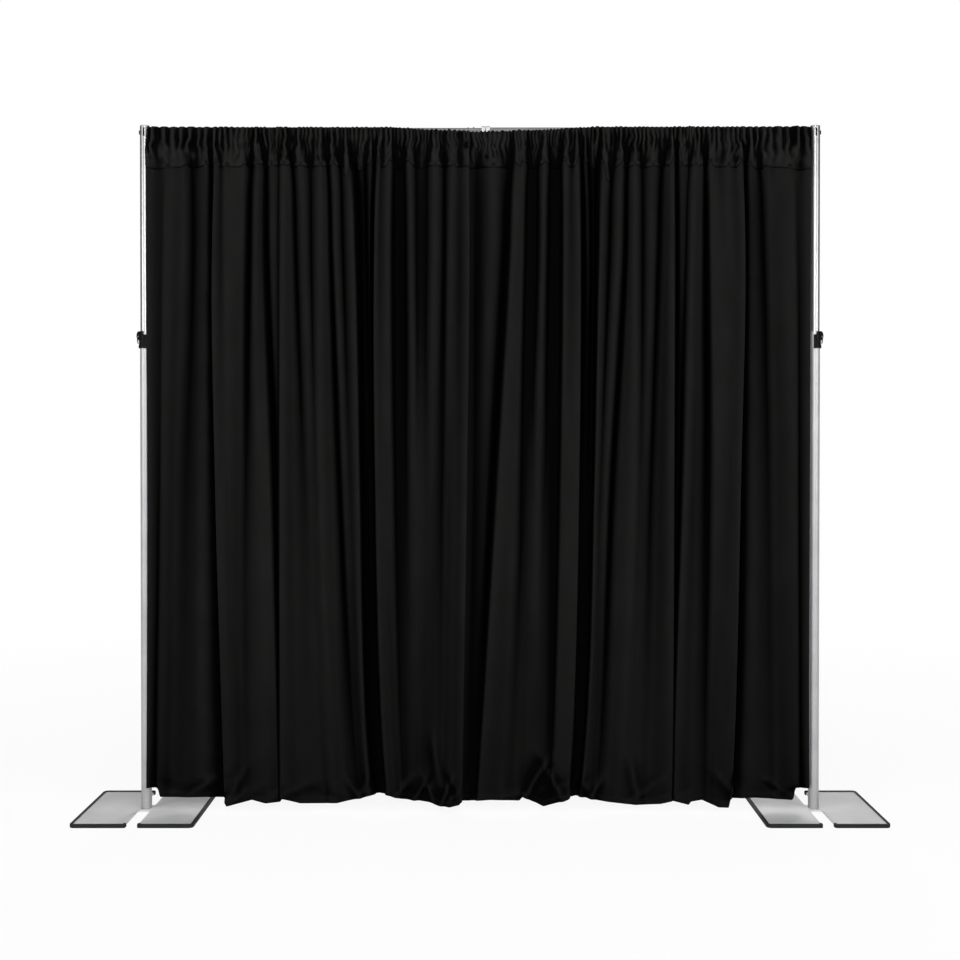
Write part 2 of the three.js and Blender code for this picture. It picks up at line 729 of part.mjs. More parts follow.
function crossbar() {
  const bar = new THREE.Group();
  bar.position.z = barHeight;
  bar.add(mesh("crossbar_inner_tube", "tubeMetal", innerTube()));
  bar.add(mesh("crossbar_outer_tube", "tubeMetal", outerTube()));
  bar.add(mesh("span_ferrule", "castMetal", ferrule()));
  bar.add(mesh("span_lock_ring", "castMetal", lockRing()));
  bar.add(mesh("span_grip_bush", "blackPlastic", gripBush()));
  bar.add(mesh("snap_button", "blackSteel", snapButton()));
  bar.add(mesh("snap_spring", "hardware", leafSpring()));
  bar.add(mesh("snap_spring_rivet", "blackSteel", leafRivet()));
  for (const side of ["left", "right"]) {
    const end = new THREE.Group();
    end.rotation.z = side === "left" ? Math.PI : 0;
    const bore = side === "left" ? innerBarBore : outerBarBore;
    const radius = side === "left" ? innerBarRadius : outerBarRadius;
    end.add(mesh(`crossbar_plug_${side}`, "blackPlastic", endPlug(bore, radius)));
    end.add(mesh(`crossbar_hook_${side}`, "blackSteel", endHook()));
    end.add(mesh(`crossbar_pin_${side}`, "hardware", crossPin(radius)));
    bar.add(end);
  }
  return bar;
}

// Drape panels: one cloth each, sewn into a pocket round the bar, hanging in folds below the stitch line

// Value of a table of shares at t, from 0 to 1 along it
function along(shares, t) {
  const place = Math.min(Math.max(t, 0), 1) * (shares.length - 1);
  const i = Math.min(Math.floor(place), shares.length - 2);
  return THREE.MathUtils.lerp(shares[i], shares[i + 1], place - i);
}

// How far a fold stands forward, from -1 to 1, at a distance x along the whole drape
function foldShare(x) {
  const turns = x / foldPitch;
  const phase = turns + foldDrift * Math.sin(turns * foldDriftRate);
  const depth = 1 - foldUnevenness + foldUnevenness * Math.sin(turns * foldUnevenRate);
  return Math.sin(2 * Math.PI * phase) * depth;
}

// Points of one cloth column: the outline's outside from hem to hem over the bar, and the pocket's inside
function clothColumn(x) {
  const width = uprightSpacing - 2 * drapeInset;
  const carrierTop = barHeight + (x < ferruleStart ? innerBarRadius : outerBarRadius);
  const share = foldShare(x);
  const hem = hemHeight - hemDrop * along(hemShares, x / width + 0.5);
  const stitch = barTop - pocketDepth;
  const half = clothThickness / 2;
  const front = [];
  const back = [];
  for (let row = 0; row <= tailRows; row += 1) {
    const z = THREE.MathUtils.lerp(hem, stitch, row / tailRows);
    const growth = Math.min((stitch - z) / foldGrowth, 1);
    const y = -share * THREE.MathUtils.lerp(gatherDepth, foldDepth, growth);
    front.push([x, y - half, z]);
    back.push([x, y + half, z]);
  }
  const gather = (gatherDepth * (1 + share)) / 2;
  const inner = [];
  const outer = [];
  for (const side of [-1, 1]) {
    const shares = side < 0 ? pocketShares : pocketShares.slice(0, -1).reverse();
    for (const [ySide, zSide] of shares) {
      const depth = side < 0 ? ySide : -ySide;
      const loose = Math.abs(ySide) * gather;
      const y = depth * pocketHalf + Math.sign(depth) * loose;
      const z = THREE.MathUtils.lerp(stitch, carrierTop + seatGap, zSide);
      inner.push([x, y, z]);
      const outward = Math.sign(depth) * Math.min(Math.abs(ySide) * pocketTurn, 1);
      const upward = ySide === 0 ? 1 : zSide ** pocketCrown;
      const away = new THREE.Vector2(outward, upward).setLength(clothThickness);
      outer.push([x, y + away.x, z + away.y]);
    }
  }
  const waist = -share * gatherDepth;
  inner[0] = [x, waist, stitch + pocketFloor];
  inner.pop();
  outer.shift();
  outer.pop();
  return { front, outer, back: back.reverse(), inner };
}

function drapePanel(start, end) {
  const columns = [];
  const panelColumns = Math.round(((end - start) / foldPitch) * foldColumns);
  for (let i = 0; i <= panelColumns; i += 1) {
    columns.push(clothColumn(THREE.MathUtils.lerp(start, end, i / panelColumns)));
  }
  const places = [];
  const corners = [];
  const rings = columns.map(({ front, outer, back, inner }) => {
    const first = places.length;
    places.push(...front, ...outer, ...back, ...inner);
    const around = front.length + outer.length + back.length;
    const outside = [...Array(around).keys()].map((k) => first + k);
    const inside = inner.map((_, k) => first + around + k);
    return { outside, inside };
  });
  const quad = (a, b, c, d) => corners.push(a, b, c, a, c, d);
  const outsideCount = rings[0].outside.length;
  for (let i = 0; i < panelColumns; i += 1) {
    const [left, right] = [rings[i], rings[i + 1]];
    left.outside.forEach((a, k) => {
      const next = (k + 1) % outsideCount;
      const loop = [a, right.outside[k], right.outside[next], left.outside[next]];
      // The back of the cloth is split along the same lines as its front
      const onBack = k >= outsideCount - 1 - tailRows;
      quad(...(onBack ? [...loop.slice(1), a] : loop));
    });
    left.inside.forEach((a, k) => {
      const next = (k + 1) % left.inside.length;
      quad(a, left.inside[next], right.inside[next], right.inside[k]);
    });
  }
  for (const [ring, flip] of [[rings[0], false], [rings[panelColumns], true]]) {
    const face = (...loop) => {
      const turn = flip ? loop.reverse() : loop;
      for (let k = 1; k < turn.length - 1; k += 1) corners.push(turn[0], turn[k], turn[k + 1]);
    };
    const { outside, inside } = ring;
    const last = outside.length - 1;
    for (let k = 0; k < tailRows; k += 1) {
      face(outside[k], outside[k + 1], outside[last - k - 1], outside[last - k]);
    }
    for (let k = 0; k < inside.length; k += 1) {
      face(outside[tailRows + k], outside[tailRows + k + 1], inside[(k + 1) % inside.length], inside[k]);
    }
    face(outside[tailRows], inside[0], outside[last - tailRows]);
  }
  const geometry = new THREE.BufferGeometry();
  geometry.setAttribute("position", new THREE.BufferAttribute(new Float32Array(places.flat()), 3));
  geometry.setIndex(corners);
  return geometry;
}

// The pocket is open along its top in the middle, where the bar and its lock show
function topSlit() {
  const width = uprightSpacing - 2 * drapeInset;
  const high = barTop + clothThickness + cutOverrun;
  const points = topSlitShares.map(([x, depth]) => {
    return new THREE.Vector2((x - 0.5) * width, barTop + clothThickness - depth * topSlitDepth);
  });
  const first = points[0];
  const last = points.at(-1);
  points.push(new THREE.Vector2(last.x, high), new THREE.Vector2(first.x, high));
  return across(new THREE.Shape(points), 2 * (pocketHalf + foldDepth));
}

function drapes() {
  const group = new THREE.Group();
  const width = uprightSpacing - 2 * drapeInset;
  for (let i = 0; i < panelEdgeShares.length - 1; i += 1) {
    const start = (panelEdgeShares[i] - 0.5) * width + panelGap / 2;
    const end = (panelEdgeShares[i + 1] - 0.5) * width - panelGap / 2;
    const panel = drapePanel(start, end);
    group.add(mesh(`drape_panel_${i + 1}`, "blackCloth", cut(panel, topSlit())));
  }
  return group;
}

const backdrop = new THREE.Group();
backdrop.add(standOf("left"), standOf("right"), crossbar(), drapes());

export default backdrop;
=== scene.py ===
import math

import bmesh
import bpy
import numpy as np
from mathutils import Matrix, Vector, noise


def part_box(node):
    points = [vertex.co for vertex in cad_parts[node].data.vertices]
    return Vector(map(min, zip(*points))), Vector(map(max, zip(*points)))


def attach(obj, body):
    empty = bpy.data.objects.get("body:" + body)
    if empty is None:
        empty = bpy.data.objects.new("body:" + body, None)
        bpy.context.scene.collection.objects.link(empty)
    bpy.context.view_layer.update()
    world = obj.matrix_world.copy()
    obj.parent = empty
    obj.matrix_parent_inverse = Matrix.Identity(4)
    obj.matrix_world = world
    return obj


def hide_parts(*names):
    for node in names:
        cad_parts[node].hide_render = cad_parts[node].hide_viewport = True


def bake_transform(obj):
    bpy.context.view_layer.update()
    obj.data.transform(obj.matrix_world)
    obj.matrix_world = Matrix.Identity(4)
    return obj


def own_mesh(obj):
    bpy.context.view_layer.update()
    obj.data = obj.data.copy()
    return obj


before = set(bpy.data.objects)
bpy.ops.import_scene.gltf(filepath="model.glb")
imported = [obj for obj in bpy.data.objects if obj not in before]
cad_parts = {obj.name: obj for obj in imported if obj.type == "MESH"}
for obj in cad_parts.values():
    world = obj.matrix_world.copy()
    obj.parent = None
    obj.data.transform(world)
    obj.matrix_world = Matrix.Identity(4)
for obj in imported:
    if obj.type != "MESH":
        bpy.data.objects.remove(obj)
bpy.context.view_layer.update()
scene = bpy.context.scene
scene.view_settings.view_transform = "Standard"
mm = 0.001
sides = {"left": -1, "right": 1}
print("frame loaded")

# Camera

cameraView = {
    "place": (0.0, -4.7, 1.37), "pitchDown": 0.62, "lens": 48.32, "riseShift": -0.0316,
}
cameraData = bpy.data.cameras.new("frontCamera")
cameraData.lens = cameraView["lens"]
cameraData.sensor_width = 36
cameraData.shift_y = cameraView["riseShift"]
camera = bpy.data.objects.new("frontCamera", cameraData)
camera.location = cameraView["place"]
camera.rotation_euler = (math.radians(90 - cameraView["pitchDown"]), 0, 0)
scene.collection.objects.link(camera)
scene.camera = camera

# Mesh helpers


def addPiece(name, points, faces):
    data = bpy.data.meshes.new(name)
    data.from_pydata([tuple(p) for p in points], [], faces)
    data.validate()
    piece = bpy.data.objects.new(name, data)
    scene.collection.objects.link(piece)
    return piece


def drop(*pieces):
    for piece in pieces:
        bpy.data.objects.remove(piece)


def settle(piece):  # turns a piece and its modifiers into one plain mesh
    bpy.context.view_layer.update()
    evaluated = piece.evaluated_get(bpy.context.evaluated_depsgraph_get())
    piece.data = bpy.data.meshes.new_from_object(evaluated)
    piece.modifiers.clear()
    return piece


def faceOut(piece):
    work = bmesh.new()
    work.from_mesh(piece.data)
    bmesh.ops.remove_doubles(work, verts=work.verts, dist=1e-6)
    bmesh.ops.recalc_face_normals(work, faces=work.faces)
    work.to_mesh(piece.data)
    work.free()
    return piece


def softCorners(points, radius, closed=True):  # rounds each corner of a profile
    kept = []
    for i, point in enumerate(points):
        corner = Vector(point)
        if not closed and i in (0, len(points) - 1):
            kept.append(corner)
            continue
        before = Vector(points[i - 1]) - corner
        after = Vector(points[(i + 1) % len(points)]) - corner
        reach = min(radius, before.length * 0.45, after.length * 0.45)
        start = corner + before.normalized() * reach
        end = corner + after.normalized() * reach
        for t in (0, 0.33, 0.67, 1):
            kept.append(start * (1 - t) ** 2 + corner * 2 * t * (1 - t) + end * t * t)
    return kept


def lathe(name, profile, steps=64, edge=0.4):  # a body turned about Z, from radii and heights in mm
    solidCore = min(radius for radius, _ in profile) <= 0
    corners = [(radius * mm, height * mm) for radius, height in profile]
    rounded = softCorners(corners, edge * mm, closed=not solidCore)
    points, rings = [], []
    for radius, height in rounded:
        ring = []
        for k in range(1 if radius < 1e-7 else steps):
            angle = 2 * math.pi * k / steps
            ring.append(len(points))
            points.append((radius * math.cos(angle), radius * math.sin(angle), height))
        rings.append(ring)
    faces = []
    pairs = list(zip(rings, rings[1:])) + ([] if solidCore else [(rings[-1], rings[0])])
    for low, high in pairs:
        for k in range(steps):
            after = k + 1
            loop = [low[k % len(low)], low[after % len(low)], high[after % len(high)], high[k % len(high)]]
            loop = list(dict.fromkeys(loop))
            if len(loop) > 2:
                faces.append(loop)
    return faceOut(addPiece(name, points, faces))


def slab(name, outline, low, high):  # an outline in X and Y, given a height
    count = len(outline)
    points = [(x, y, low) for x, y in outline] + [(x, y, high) for x, y in outline]
    faces = [list(range(count)), list(range(count, 2 * count))]
    for k in range(count):
        after = (k + 1) % count
        faces.append([k, after, count + after, count + k])
    return faceOut(addPiece(name, points, faces))


def box(name, low, high):  # from its low corner to its high corner, in mm
    (left, front, bottom), (right, back, top) = [[value * mm for value in corner] for corner in (low, high)]
    return slab(name, [(left, front), (right, front), (right, back), (left, back)], bottom, top)


def pipe(name, bore, radius, low, high, steps=72, edge=0.5):
    return lathe(name, [(bore, low), (radius, low), (radius, high), (bore, high)], steps, edge)


def peg(name, radius, low, high, steps=32):
    return lathe(name, [(0, low), (radius, low), (radius, high), (0, high)], steps, 0)


def turned(piece, *matrices):
    for matrix in matrices:
        piece.data.transform(matrix)
    return piece


def pointOut(piece, height):  # lays a part drawn along Z outward along X, at a height in mm
    return turned(piece, Matrix.Rotation(-math.pi / 2, 4, "Y"), Matrix.Translation((0, 0, height * mm)))


def carve(piece, *cutters, way="DIFFERENCE"):
    for cutter in cutters:
        step = piece.modifiers.new("carve", "BOOLEAN")
        step.operation = way
        step.solver = "EXACT"
        step.object = cutter
    settle(piece)
    drop(*cutters)
    return piece


def softened(piece, width, angle=32):  # small bevels, then normals that follow the large faces
    if width:
        bevel = piece.modifiers.new("bevel", "BEVEL")
        bevel.width = width
        bevel.segments = 2
        bevel.limit_method = "ANGLE"
        bevel.angle_limit = math.radians(angle)
    settle(piece)
    piece.data.polygons.foreach_set("use_smooth", [True] * len(piece.data.polygons))
    weigh = piece.modifiers.new("normals", "WEIGHTED_NORMAL")
    weigh.keep_sharp = True
    return settle(piece)


def fromSolid(name, node, width):  # a CAD solid's copy with its edges softened
    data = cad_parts[node].data.copy()
    piece = bpy.data.objects.new(name, data)
    scene.collection.objects.link(piece)
    work = bmesh.new()
    work.from_mesh(data)
    bmesh.ops.remove_doubles(work, verts=work.verts, dist=1e-6)
    bmesh.ops.dissolve_limit(work, angle_limit=math.radians(1), verts=work.verts, edges=work.edges)
    work.to_mesh(data)
    work.free()
    return softened(piece, width)


def fit(piece, body, finish, slot, *nodes):  # finish, body, and the CAD solids that a piece stands for
    piece.data.materials.clear()
    piece.data.materials.append(finish)
    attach(piece, body)
    if nodes:
        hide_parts(*nodes)
    return piece


# Materials


class NodeChain:  # a material's or world's nodes, written as short steps
    def __init__(self, owner):
        owner.use_nodes = True
        self.nodes, self.links = owner.node_tree.nodes, owner.node_tree.links

    def add(self, kind, **inputs):
        node = self.nodes.new(kind)
        for key, value in inputs.items():
            name = key.replace("_", " ")
            if name in node.inputs:
                node.inputs[name].default_value = value
            else:
                setattr(node, key, value)
        return node

    def join(self, start, end):
        self.links.new(start, end)

    def both(self, operation, first, second):
        step = self.add("ShaderNodeMath", operation=operation)
        self.join(first, step.inputs[0])
        self.join(second, step.inputs[1])
        return step.outputs[0]

    def background(self, strength):
        return self.add("ShaderNodeBackground", Color=(1, 1, 1, 1), Strength=strength)

    def seeingRays(self):  # the rays that show the background as white
        path = self.add("ShaderNodeLightPath")
        camera = path.outputs["Is Camera Ray"]
        reflected = self.both("MAXIMUM", camera, path.outputs["Is Glossy Ray"])
        return camera, self.both("MAXIMUM", reflected, path.outputs["Is Transmission Ray"])


class Finish(NodeChain):
    def __init__(self, name):
        self.material = bpy.data.materials.new(name)
        super().__init__(self.material)
        self.shader = self.nodes["Principled BSDF"]
        self.lastNormal = None

    def coordinates(self, source="Object", stretch=(1, 1, 1)):
        place = self.add("ShaderNodeTexCoord")
        mapping = self.add("ShaderNodeMapping", Scale=stretch)
        self.join(place.outputs[source], mapping.inputs["Vector"])
        return mapping.outputs["Vector"]

    def grain(self, scale, stretch=(1, 1, 1), source="Object", detail=3.0):
        cloud = self.add("ShaderNodeTexNoise", Scale=scale, Detail=detail)
        self.join(self.coordinates(source, stretch), cloud.inputs["Vector"])
        return cloud.outputs["Fac"]

    def ramp(self, value, low, high, start=0.3, end=0.7):
        step = self.add("ShaderNodeValToRGB")
        step.color_ramp.elements[0].position = start
        step.color_ramp.elements[1].position = end
        step.color_ramp.elements[0].color = (*low, 1)
        step.color_ramp.elements[1].color = (*high, 1)
        self.join(value, step.inputs["Fac"])
        return step.outputs["Color"]

    def ranged(self, value, low, high):
        step = self.add("ShaderNodeMapRange", To_Min=low, To_Max=high)
        self.join(value, step.inputs["Value"])
        return step.outputs["Result"]

    def bump(self, value, distance, strength=1.0):
        step = self.add("ShaderNodeBump", Strength=strength, Distance=distance)
        self.join(value, step.inputs["Height"])
        if self.lastNormal:
            self.join(self.lastNormal, step.inputs["Normal"])
        self.lastNormal = step.outputs["Normal"]
        self.join(self.lastNormal, self.shader.inputs["Normal"])


def metalFinish(name, colour, shade, metallic, roughness, grain, stretch, smudge, bump):
    finish = Finish(name)
    finish.shader.inputs["Metallic"].default_value = metallic
    grainValue = finish.grain(grain, stretch)
    smudgeValue = finish.grain(smudge, detail=4.0)
    mixed = finish.both("ADD", grainValue, smudgeValue)
    finish.join(finish.ramp(smudgeValue, shade, colour), finish.shader.inputs["Base Color"])
    low, high = roughness
    rough = finish.ranged(mixed, low - (high - low) * 0.5, high + (high - low) * 0.5)
    finish.join(rough, finish.shader.inputs["Roughness"])
    finish.bump(grainValue, bump)
    return finish.material


def plasticFinish(name, colour, shade, roughness, stipple, wear, bump, specular):
    finish = Finish(name)
    stippleValue = finish.grain(stipple, detail=2.0)
    wearValue = finish.grain(wear, detail=4.0)
    finish.join(finish.ramp(wearValue, shade, colour), finish.shader.inputs["Base Color"])
    finish.join(finish.ranged(wearValue, *roughness), finish.shader.inputs["Roughness"])
    finish.shader.inputs["Specular IOR Level"].default_value = specular
    finish.bump(stippleValue, bump)
    return finish.material


plain, upright, level, brushed = (1, 1, 1), (1, 1, 0.02), (0.02, 1, 1), (0.06, 1, 1)
metalLooks = {  # colour, its shade, metallic, roughness, grain, its stretch, smudge, bump
    "tubePolished": ((0.34, 0.34, 0.347), (0.30, 0.30, 0.306), 0.85, (0.29, 0.34), 900, upright, 9, 0.000004),
    "tubeUpright": ((0.42, 0.42, 0.43), (0.36, 0.36, 0.37), 0.6, (0.27, 0.42), 900, upright, 9, 0.00002),
    # painted shade: the crossbar's metal is a darker copy of the upright tube's, its colour lowered to stand in
    # for shade
    "tubeCrosswaysPaintedShade": ((0.12, 0.12, 0.122), (0.09, 0.09, 0.092), 0.35, (0.27, 0.42), 900, level, 9, 0.00002),
    "castAlloy": ((0.44, 0.44, 0.45), (0.36, 0.36, 0.37), 0.85, (0.32, 0.5), 1400, plain, 60, 0.00004),
    "basePlateSteel": ((0.63, 0.63, 0.636), (0.56, 0.56, 0.566), 0.55, (0.42, 0.6), 260, brushed, 7, 0.00003),
    "zincPlate": ((0.56, 0.56, 0.57), (0.45, 0.45, 0.47), 0.9, (0.25, 0.45), 1100, plain, 90, 0.00002),
    "blackenedSteel": ((0.022, 0.022, 0.024), (0.012, 0.012, 0.013), 0.4, (0.38, 0.55), 1300, plain, 80, 2e-5),
}
plasticLooks = {  # colour, its shade, roughness, stipple, wear, bump, specular
    "blackMouldedPlastic": ((0.004, 0.004, 0.0042), (0.0024, 0.0024, 0.0026), (0.34, 0.5), 2400, 45, 3e-5, 0.06),
    "edgeTrimRubber": ((0.014, 0.014, 0.0145), (0.009, 0.009, 0.0095), (0.62, 0.82), 1500, 30, 0.00005, 0.2),
    "padRubber": ((0.019, 0.019, 0.020), (0.012, 0.012, 0.012), (0.7, 0.85), 1800, 60, 0.00004, 0.2),
    "sewingThread": ((0.010, 0.010, 0.0105), (0.006, 0.006, 0.0065), (0.6, 0.8), 3000, 200, 0.00003, 0.2),
}
finishes = {name: metalFinish(name, *look) for name, look in metalLooks.items()}
finishes.update({name: plasticFinish(name, *look) for name, look in plasticLooks.items()})

# painted shade: the smallest share of the cloth's colour that the painted shade in the folds' hollows leaves is
# given here
clothLook = {
    "colour": (0.0092, 0.0089, 0.0087), "shade": (0.0074, 0.0072, 0.0070), "paintedShadeFloor": 0.03, "roughness": 0.7,
    "specular": 0.02, "threads": 0.0007, "threadBump": 0.00005, "creaseBump": 0.0005,
}


def clothFinish(name, look):  # plain weave, threads along the cloth's own length and width; its base colour carries painted shade from the stored fold shade
    finish = Finish(name)
    shader = finish.shader
    shader.inputs["Roughness"].default_value = look["roughness"]
    shader.inputs["Specular IOR Level"].default_value = look["specular"]
    streaks = finish.grain(9, (2.5, 0.8, 1), "UV", 3.0)
    colour = finish.ramp(streaks, look["shade"], look["colour"])
    # painted shade and painted light: the colour is scaled by the stored fold shade, under 1 in the folds'
    # hollows and above 1 on the pocket's forward cloth
    storedPaintedShade = finish.add("ShaderNodeAttribute", attribute_name="paintedFoldShade")
    depth = finish.add("ShaderNodeMath", operation="MAXIMUM")
    finish.join(storedPaintedShade.outputs["Fac"], depth.inputs[0])
    depth.inputs[1].default_value = look["paintedShadeFloor"]
    colourUnderPaintedShade = finish.add("ShaderNodeVectorMath", operation="SCALE")
    finish.join(colour, colourUnderPaintedShade.inputs[0])
    finish.join(depth.outputs[0], colourUnderPaintedShade.inputs["Scale"])
    finish.join(colourUnderPaintedShade.outputs["Vector"], shader.inputs["Base Color"])
    place = finish.coordinates("UV")
    weave = []
    for direction in ("X", "Y"):
        threads = finish.add("ShaderNodeTexWave", wave_type="BANDS", bands_direction=direction,
                             Scale=math.pi / 10 / look["threads"], Distortion=0.4)
        finish.join(place, threads.inputs["Vector"])
        weave.append(threads.outputs["Fac"])
    crossed = finish.both("MULTIPLY", *weave)
    finish.bump(finish.grain(9, (6, 1, 1), "UV", 3.0), look["creaseBump"], 0.5)
    finish.bump(crossed, look["threadBump"], 0.6)
    return finish.material


finishes["blackDrapeCloth"] = clothFinish("blackDrapeCloth", clothLook)
print("materials made")

# Floor, backdrop and lights

stageLook = {"floor": (0.86, 0.86, 0.86), "size": 60, "nearWhite": 0.88, "clearFrom": 1.6, "clearTo": 5.0,
             "ambient": 0.2, "flags": ((-0.4, -0.1, 0.7, 0.05), (0.88, 0.94, 0.05, 1))}


def darkFlags(sky, camera, white):  # dark screens round the backdrop, which bright metal shows at its edges
    around = sky.add("ShaderNodeTexCoord")
    parts = sky.add("ShaderNodeSeparateXYZ")
    sky.join(around.outputs["Generated"], parts.inputs[0])
    edges = []
    for begin, finish, low, high in stageLook["flags"]:
        edge = sky.add("ShaderNodeMapRange", From_Min=begin, From_Max=finish, To_Min=low, To_Max=high)
        sky.join(parts.outputs["Y"], edge.inputs["Value"])
        edges.append(edge.outputs["Result"])
    level = sky.both("MAXIMUM", *edges)
    sky.join(sky.both("MAXIMUM", level, camera), white.inputs["Strength"])


def paleStage():
    scene.world = bpy.data.worlds.new("paleStudio")
    sky = NodeChain(scene.world)
    plain, white = sky.background(stageLook["ambient"]), sky.background(1)
    camera, seeing = sky.seeingRays()
    mix = sky.add("ShaderNodeMixShader")
    sky.join(seeing, mix.inputs["Fac"])
    sky.join(plain.outputs[0], mix.inputs[1])
    sky.join(white.outputs[0], mix.inputs[2])
    sky.join(mix.outputs[0], sky.nodes["World Output"].inputs["Surface"])
    darkFlags(sky, camera, white)
    half = stageLook["size"] / 2
    corners = [(-half, -half, 0), (half, -half, 0), (half, half, 0), (-half, half, 0)]
    floor = addPiece("studioFloor", corners, [[0, 1, 2, 3]])
    paint = Finish("palePaintedFloor")
    paint.shader.inputs["Base Color"].default_value = (*stageLook["floor"], 1)
    paint.shader.inputs["Roughness"].default_value = 0.9
    paint.shader.inputs["Specular IOR Level"].default_value = 0.1
    glow = paint.add("ShaderNodeEmission")
    away = paint.add("ShaderNodeVectorMath", operation="LENGTH")
    place = paint.add("ShaderNodeTexCoord")
    paint.join(place.outputs["Object"], away.inputs[0])
    clear = paint.add("ShaderNodeMapRange", From_Min=stageLook["clearFrom"], From_Max=stageLook["clearTo"],
                      To_Min=stageLook["nearWhite"], To_Max=1.0)
    paint.join(away.outputs["Value"], clear.inputs["Value"])
    share = paint.both("MULTIPLY", paint.seeingRays()[1], clear.outputs["Result"])
    blend = paint.add("ShaderNodeMixShader")
    paint.join(share, blend.inputs["Fac"])
    paint.join(paint.shader.outputs[0], blend.inputs[1])
    paint.join(glow.outputs[0], blend.inputs[2])
    paint.join(blend.outputs[0], paint.nodes["Material Output"].inputs["Surface"])
    floor.data.materials.append(paint.material)


lamps = {
    "keyFront": {"place": (0, -6.4, 2.9), "aim": (0, 0, 1.3), "size": 1.8, "power": 190},
    "keyLeft": {"place": (-4.6, -3.6, 2.3), "aim": (-0.4, 0, 1.3), "size": 1.6, "power": 100},
    "keyRight": {"place": (4.6, -3.6, 2.3), "aim": (0.4, 0, 1.3), "size": 1.6, "power": 100},
    "backSoft": {"place": (0.6, 6.4, 2.8), "aim": (0, 0, 1.2), "size": 2.4, "power": 190},
    "topSoft": {"place": (0, -1.4, 5.6), "aim": (0, 0, 0.6), "size": 3.6, "power": 130},
}


def addLamps():
    for name, lamp in lamps.items():
        data = bpy.data.lights.new(name, "AREA")
        data.size = lamp["size"]
        data.energy = lamp["power"]
        item = bpy.data.objects.new(name, data)
        item.location = lamp["place"]
        way = Vector(lamp["aim"]) - Vector(lamp["place"])
        item.rotation_euler = way.to_track_quat("-Z", "Y").to_euler()
        scene.collection.objects.link(item)


paleStage()
addLamps()
print("stage and lights set")

# Uprights and bases, drawn for the right side with the lever outward

halfSpan = (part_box("right_lower_tube")[0].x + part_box("right_lower_tube")[1].x) / 2


def stand(side, piece):
    turn = Matrix.Rotation(math.pi if side == "left" else 0, 4, "Z")
    return turned(piece, turn, Matrix.Translation((sides[side] * halfSpan, 0, 0)))


basePlate = {
    "size": 428, "low": 3.3, "thickness": 6.35, "corner": 14, "notch": 47, "notchEnd": 9, "mouth": 5,
    "bridge": 64, "edge": 0.7, "cornerSteps": 8,
}
baseTrim = {"wall": 3.2, "lip": 10, "gap": 0.3, "height": 12.95, "turnIn": 16, "round": 2.2}
screwHole = {"radius": 8.9, "shank": 4.3, "rim": 0.4, "depth": 4.6, "past": 12}


def roundedOutline(corners, steps):
    outline = []
    for i, (x, y, radius) in enumerate(corners):
        corner = Vector((x, y))
        before = (Vector(corners[i - 1][:2]) - corner).normalized() * radius
        after = (Vector(corners[(i + 1) % len(corners)][:2]) - corner).normalized() * radius
        centre = corner + before + after
        for k in range(steps + 1):
            angle = math.pi / 2 * k / steps
            outline.append(tuple((centre - after * math.cos(angle) - before * math.sin(angle)) * mm))
    return outline


def plateCorners():
    half, notch, end = basePlate["size"] / 2, basePlate["notch"] / 2, basePlate["bridge"] / 2
    corner, mouth, inner = basePlate["corner"], basePlate["mouth"], basePlate["notchEnd"]
    return [
        (-half, -half, corner), (-notch, -half, mouth), (-notch, -end, inner), (notch, -end, inner),
        (notch, -half, mouth), (half, -half, corner), (half, half, corner), (notch, half, mouth),
        (notch, end, inner), (-notch, end, inner), (-notch, half, mouth), (-half, half, corner),
    ]


def addBasePlate(side):
    low, radius, shank = basePlate["low"], screwHole["radius"], screwHole["shank"]
    piece = slab(f"{side}BasePlate", roundedOutline(plateCorners(), basePlate["cornerSteps"]),
                 low * mm, (low + basePlate["thickness"]) * mm)
    sink = lathe("sink", [(0, low - 1), (radius, low - 1), (radius, low + screwHole["rim"]),
                          (shank, low + screwHole["depth"]), (shank, low + screwHole["past"]),
                          (0, low + screwHole["past"])], 32, 0)
    stand(side, softened(carve(piece, sink), basePlate["edge"] * mm))
    fit(piece, f"{side}_base", finishes["basePlateSteel"], "plate_steel", f"{side}_base_plate")


def trimPath():  # the plate's edge from one notch round to the other, as points with outward directions
    half = basePlate["size"] / 2
    start = half - baseTrim["turnIn"]
    notch, mouth, corner = basePlate["notch"] / 2, basePlate["mouth"], basePlate["corner"]
    path = [((notch, -start), (-1, 0))]

    def arc(centre, radius, begin, end, outward):
        for k in range(9):
            angle = math.radians(begin + (end - begin) * k / 8)
            way = (math.cos(angle), math.sin(angle))
            path.append(((centre[0] + radius * way[0], centre[1] + radius * way[1]),
                         (way[0] * outward, way[1] * outward)))

    arc((notch + mouth, -half + mouth), mouth, 180, 270, 1)
    arc((half - corner, -half + corner), corner, 270, 360, 1)
    arc((half - corner, half - corner), corner, 0, 90, 1)
    arc((notch + mouth, half - mouth), mouth, 90, 180, 1)
    path.append(((notch, start), (-1, 0)))
    return path


